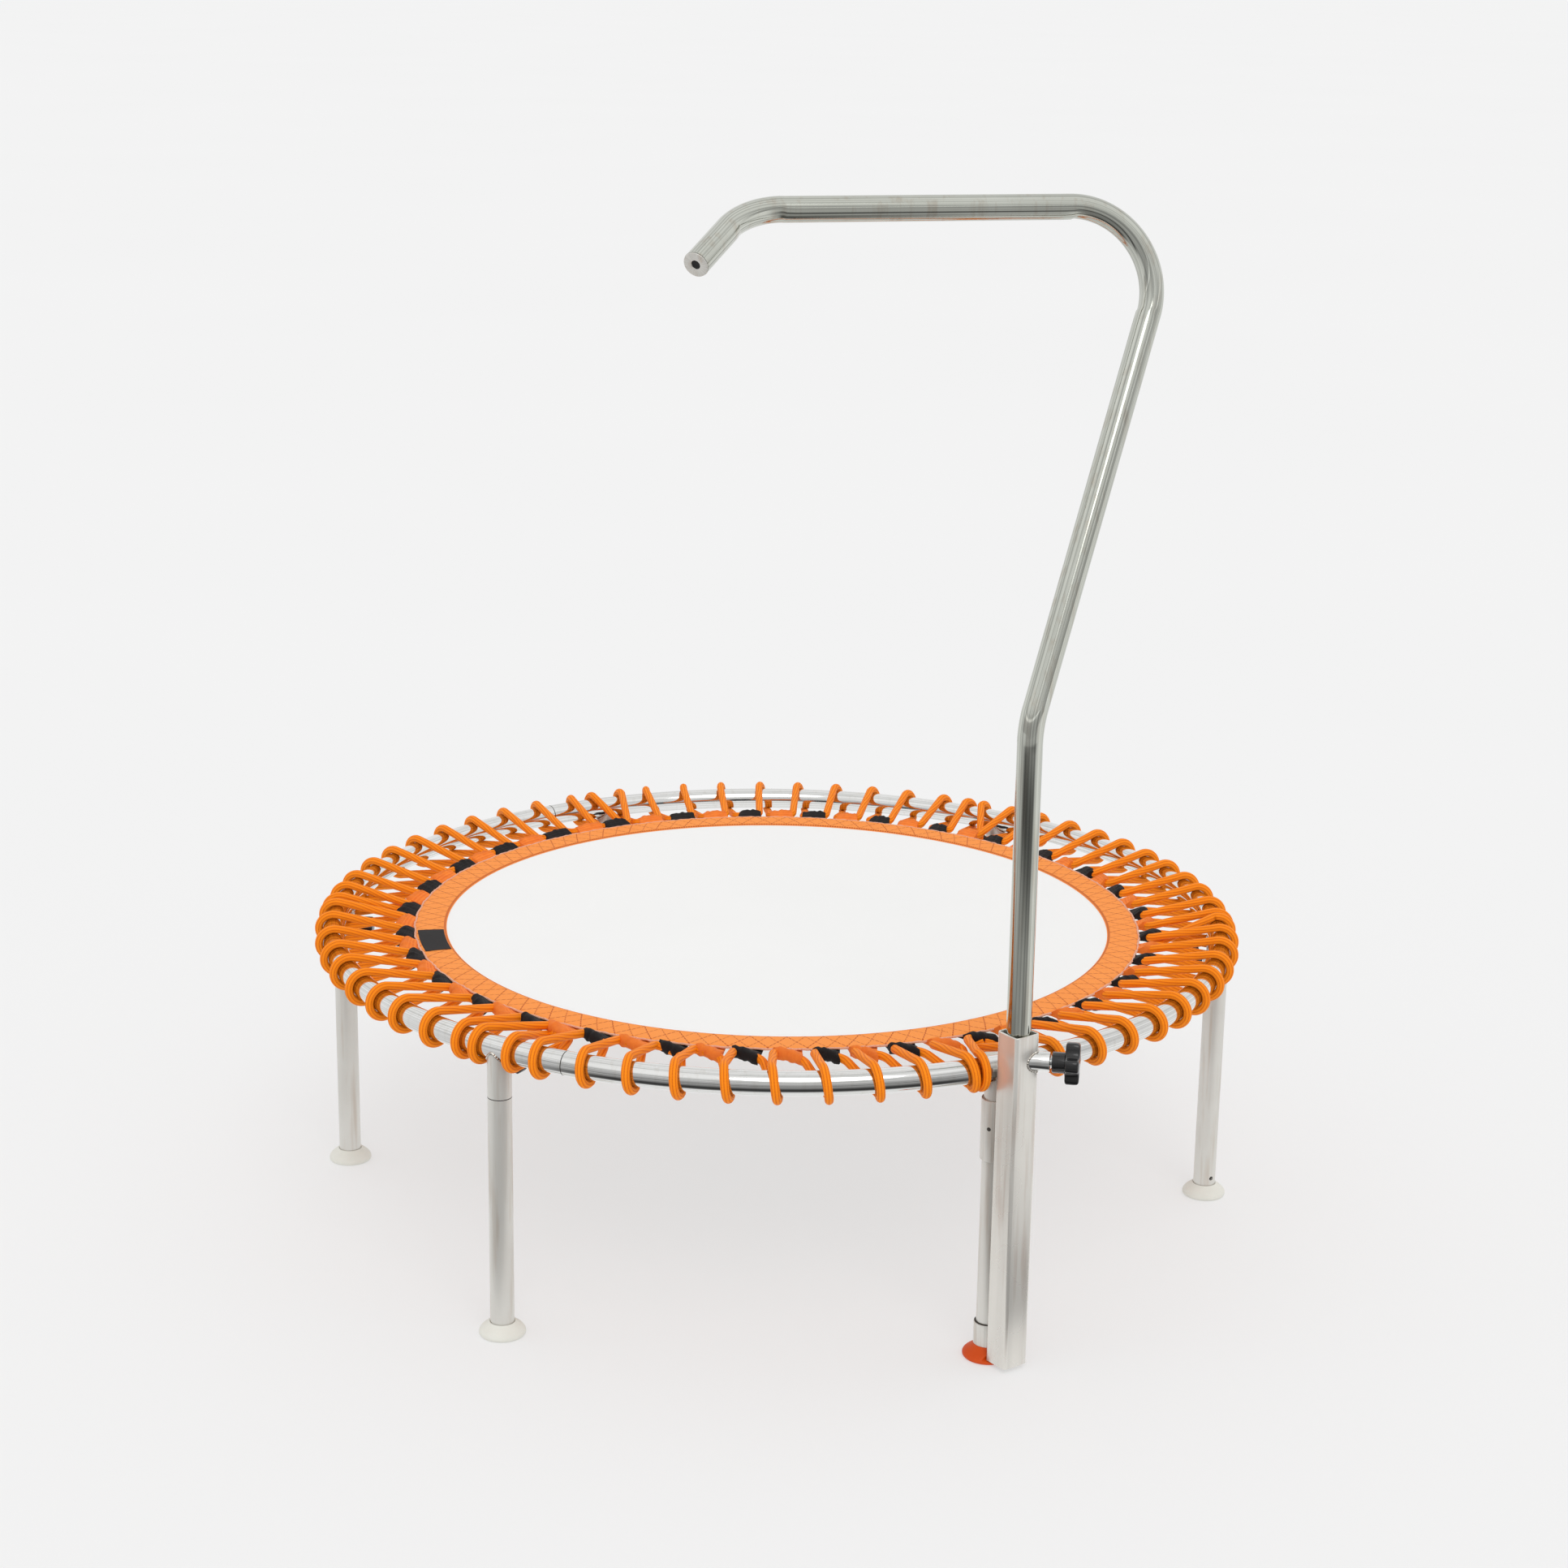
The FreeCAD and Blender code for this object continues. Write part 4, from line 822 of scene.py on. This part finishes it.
def lacing_line(from_tab, to_tab, angle, drift, line, low, high):
    """A turn's centre line and the side direction of its section.

    Tab run, corner, straight lower leg, arc round the ring at 17.1 mm from -103 to 103 degrees,
    straight upper leg, corner, tab run. The side direction goes from upright to along the ring."""
    along = lambda degrees: np.array([np.cos(np.radians(degrees)), np.sin(np.radians(degrees)), 0.0])
    tilt = np.linspace(-103, 103, 44)
    ring = spot(ring_radius + wrap_radius * np.cos(np.radians(tilt)), angle + drift * tilt / 206,
                ring_level + wrap_radius * np.sin(np.radians(tilt)))
    legs = []
    for tab, shift, level, meet in ((from_tab, 16.5, low, ring[0]), (to_tab, -13.5, high, ring[-1])):
        middle = spot(line, tab, ring_level + level * 0.25)
        corner = spot(line + 0.3 * shift, tab, ring_level + level) + shift * along(tab)
        out = unit(meet - corner)
        start = corner - 8 * unit(corner - middle)
        t = np.linspace(0, 1, 10)[:, None]
        bend = (1 - t) ** 2 * start + 2 * t * (1 - t) * corner + t ** 2 * (corner + 8 * out)
        run = middle + np.linspace(0, 1, 4)[:-1, None] * (start - middle)
        leg = corner + 8 * out + np.linspace(0, 1, 16)[1:-1, None] * (meet - corner - 8 * out)
        legs.append((np.concatenate([run, bend, leg]), np.concatenate([np.zeros(13), np.linspace(0, 1, 16)[1:-1]])))
    path = np.concatenate([legs[0][0], ring, legs[1][0][::-1]])
    share = np.concatenate([legs[0][1], np.ones(len(ring)), legs[1][1][::-1]])[:, None]
    share = share * share * (3 - 2 * share)
    return path, (1 - share) * np.array([0.0, 0.0, 1.0]) + share * -along(angle)


def braid_nodes(tree):
    """Braided cover: eight lengthwise ridges, crossed by slanted yarns, with painted shade darkening the grooves."""
    coordinates = add(tree, "ShaderNodeTexCoord")
    axes = add(tree, "ShaderNodeSeparateXYZ", {0: coordinates.outputs["UV"]})
    along, round_it = axes.outputs[0], axes.outputs[1]
    ridge = calc(tree, "ABSOLUTE", calc(tree, "SINE", calc(tree, "MULTIPLY", round_it, 8 * np.pi)))
    left = calc(tree, "SINE", calc(tree, "MULTIPLY_ADD", along, 2600.0, calc(tree, "MULTIPLY", round_it, 16 * np.pi)))
    right = calc(tree, "SINE", calc(tree, "MULTIPLY_ADD", along, 2600.0, calc(tree, "MULTIPLY", round_it, -16 * np.pi)))
    yarn = calc(tree, "MULTIPLY_ADD", calc(tree, "MAXIMUM", left, right), 0.18, calc(tree, "POWER", ridge, 0.5))
    drift = add(tree, "ShaderNodeTexNoise", {
        "Vector": coordinates.outputs["Object"], "Scale": 55.0, "Detail": 3.0}).outputs[0]
    # Painted shade: the colour runs from dark orange in the grooves to light orange on the ridges.
    colour = blend_colours(tree, calc(tree, "POWER", ridge, 0.45), paint(216, 92, 0), paint(255, 145, 0))
    colour = blend_colours(tree, calc(tree, "MULTIPLY", drift, 0.25), colour, paint(242, 114, 0))
    return {"Base Color": colour, "Roughness": calc(tree, "MULTIPLY_ADD", drift, 0.15, 0.5),
            "Normal": bump(tree, yarn, 0.0005)}


cord_orange = material("orange_cord", braid_nodes, Specular_IOR_Level=0.22)
turns = []
for sector, first in enumerate(leg_tabs):
    leg = 60.0 * sector
    last = (leg_tabs + (64,))[sector + 1]
    side = 3.2 if sector == 0 else 2.2
    for index in range(first, last):
        even = 3.2 + 5.625 * (index + 0.5)
        drift = 0.3 - 1.3 * np.cos(np.radians(even))
        angle = even + 0.86 + wander(even, 1.29, 131, 0.84, -49) - 0.437 * drift
        if index == first:
            angle = max(angle, leg + side + 2.2)
        if index == last - 1:
            angle, drift = min(angle, leg + 60 - 2.4), 0.0
        hold = 463.0 if index in (first, last - 1) else 487.0
        turns.append((sector, tab_angle(index), tab_angle(index + 1), angle, drift, cord_line, -3.0, 1.0, hold))
    turns.append((sector, tab_angle(first), tab_angle(first), leg + side, 0.0, 431.0, -6.0, -7.0, 463.0))
for number, (sector, from_tab, to_tab, angle, drift, line, low, high, hold) in enumerate(turns, 1):
    path, aside = lacing_line(from_tab, to_tab, angle + 0.12 * chance.standard_normal(), drift, line, low, high)
    lacing = skin(f"lacing_turn_{number:02d}", tube(path, cord_radius, aside, 20), cord_orange, 180)
    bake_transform(lacing)
    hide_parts(f"cord_sector_{sector + 1}")

# ---------------------------------------------------------------- ring
# Three arcs of 25 mm polished steel tube, butted end to end over hidden sleeves. Each end is
# broken by hand, so a fine dark line shows at the seam.
seams = np.array([69.2, 189.2, 309.2])
for number, start in enumerate(seams, 1):
    sweep = np.concatenate([[0.03, 0.035, 0.06], np.linspace(0.2, 119.8, 220), [119.94, 119.965, 119.97]]) + start
    depth = np.concatenate([[11.9, 12.3, 12.5], np.full(220, 12.5), [12.5, 12.3, 11.9]])[:, None]
    around = (np.arange(48) / 48 * 2 * np.pi)[None]
    ring_r = ring_radius + depth * np.cos(around)
    angle = np.radians(sweep)[:, None]
    arc = skin(f"ring_tube_{number}", np.stack([ring_r * np.sin(angle), -ring_r * np.cos(angle),
               ring_level + depth * np.sin(around) + 0 * angle], -1), ring_steel)
    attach(arc, "frame")
    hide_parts(f"rim_segment_{number}")
dress("rim_joint_sleeves", satin)

# ---------------------------------------------------------------- leg stubs, their welds and bosses
# Six satin steel stubs, notched to the ring and welded under it; each has a threaded collar
# on its inner side for the leg's screw.
turn = np.arange(160) / 160 * 2 * np.pi
saddle = ring_level - 13.4 * np.sqrt(np.sin(turn) ** 2 + 0.01)
beads = []
for number in range(6):
    dress(f"leg_stub_{number + 1}", satin)
    local = np.stack([13.0 * np.sin(turn), -ring_radius - 13.0 * np.cos(turn), saddle], -1)
    outward = np.stack([np.sin(turn), -np.cos(turn), 0.3 + 0 * turn], -1)
    beads.append(("loop", about(closed_tube(local, 1.0 + 0.14 * np.sin(38 * turn), outward), 60.0 * number, (0, 0, 0))))
dress("leg_clamp_bosses", satin)
stub_welds = skin("leg_stub_welds", beads, weld_steel)
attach(stub_welds, "frame")

# ---------------------------------------------------------------- leg knobs and studs
# A small black four-lobed knob on a plated stud at the inner side of each stub.
for number in range(1, 7):
    angle = np.radians(60.0 * (number - 1))
    outward = np.array([np.sin(angle), -np.cos(angle), 0.0])
    leg_knob = skin(f"leg_knob_{number}_moulded", lathe(
        [(5.6, 16.7), (6.3, 16.9), (6.5, 17.4), (6.5, 20.4), (202.4, 20.7), (200.7, 21.1), (200, 22.2), (200, 31.8),
         (200.6, 33.0), (202, 33.6), (206, 33.7)], ring_radius * outward + (0, 0, -24.9), -outward, 72,
        lobes(11.0, 6.9, 8.0, np.pi / 4)), knob_black, 50)
    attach(leg_knob, f"leg_grip_{number}")
    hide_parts(f"leg_knob_{number}")
    dress(f"leg_knob_{number}_stud", zinc)

# ---------------------------------------------------------------- legs
# Six satin steel tubes, their tops swaged to plug into the stubs, with a drain hole near the foot.
for number in range(1, 7):
    dress(f"leg_{number}", satin)

# ---------------------------------------------------------------- joint lines
# Dark lines at the gaps where each leg meets its stub, where the ring's tubes butt and above the lower
# band, and a dark disc, painted shade, for the small drilled hole in the upper band.
joints_and_hole_dark = material("dark_joints_and_hole_shade", moulded_nodes(paint(64, 58, 52), paint(34, 30, 27), 0.6, 0.00003))
gap = [(12.2, -0.45), (12.53, -0.45), (12.58, 0.0), (12.53, 0.45), (12.2, 0.45)]
frame_gaps = [("loop", about(lathe(gap, (0, -ring_radius, -52.55), columns=48), 60.0 * number, (0, 0, 0)))
              for number in range(6)]
for start in seams:
    along = np.array([np.cos(np.radians(start)), np.sin(np.radians(start)), 0.0])
    frame_gaps.append(("loop", lathe([(12.2, -0.4), (12.54, -0.4), (12.6, 0.0), (12.54, 0.4), (12.2, 0.4)],
                                     spot(ring_radius, start, ring_level), along, 48)))
gaps = skin("frame_joint_lines", frame_gaps, joints_and_hole_dark)
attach(gaps, "frame")
hole_way = np.array([-0.834, -0.556, 0.0])
# Painted shade: the small dark disc stands for the shade inside the drilled hole.
hole_marks = skin("band_hole_and_gap", [
    ("loop", lathe([(12.3, -276.45), (14.2, -276.45), (14.2, -276.1), (12.7, -275.7), (12.3, -275.7)],
                   (0, -ring_radius, 0))),
    ("loop", lathe([(0.2, 0.05), (1.7, 0.05), (2.1, 0.0), (2.2, -0.5), (0.2, -0.5)],
                   np.array([0, -ring_radius, -62.0]) + 14.8 * hole_way, hole_way, 24))], joints_and_hole_dark)
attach(hole_marks, "handle_leg_set")

# ---------------------------------------------------------------- socket bands
# Two steel rings round the handlebar's leg, turned edges broken, welded to the socket.
bands = [(12.85, -97.5, -32.5), (12.85, -300.5, -276.5)]
for name, (inner, low, high) in zip(("upper", "lower"), bands):
    section = rounded([(inner, (low + high) / 2), (inner, low), (14.8, low), (14.8, high), (inner, high),
                       (inner, (low + high) / 2)], 0.5)[:-1]
    ring_piece = skin(f"{name}_band_turned", ("loop", lathe(section, (0, -ring_radius, 0))), satin)
    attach(ring_piece, "handle_leg_set")
    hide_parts(f"{name}_band")

# ---------------------------------------------------------------- feet
# Rubber feet pushed on the legs: five ivory domes, and an orange cone flattened beside the socket.
ivory = material("ivory_rubber", moulded_nodes(paint(232, 232, 224), paint(214, 213, 204), 0.55, 0.00003))
orange_rubber = material("orange_rubber", moulded_nodes(paint(216, 84, 6), paint(198, 66, 3), 0.5, 0.00003),
                         Specular_IOR_Level=0.3)
floor_level = -315.0
rise = np.linspace(0, 1, 14)
for number in range(1, 7):
    widest, power = (25.6, 2.4) if number == 1 else (24.3, 1.24)
    dome = np.stack([14.3 + (widest - 14.3) * (1 - rise ** 2) ** power, 2.9 + 11.3 * rise], 1)
    profile = np.concatenate([[(2, 0), (widest - 2.2, 0), (widest - 0.9, 0.5), (widest - 0.1, 1.8)], dome,
                              [(14.0, 14.5), (13.2, 14.5), (12.7, 14.1), (12.6, 13.4), (12.6, 6.0), (2, 6.0)]])
    grid = lathe(profile, (0, 0, floor_level), columns=72)
    if number == 1:
        aside = np.array([np.sin(np.radians(10)), -np.cos(np.radians(10))])
        beyond = np.maximum(0, grid[..., :2] @ aside - 14.5) * (grid[..., 2] > -310.6)
        grid[..., :2] -= beyond[..., None] * aside
    rubber = skin(f"foot_{number}_rubber", about(grid + (0, -ring_radius, 0), 60.0 * (number - 1), (0, 0, 0)),
                  orange_rubber if number == 1 else ivory)
    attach(rubber, "handle_leg_set" if number == 1 else f"leg_set_{number}")
    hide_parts(f"foot_{number}")
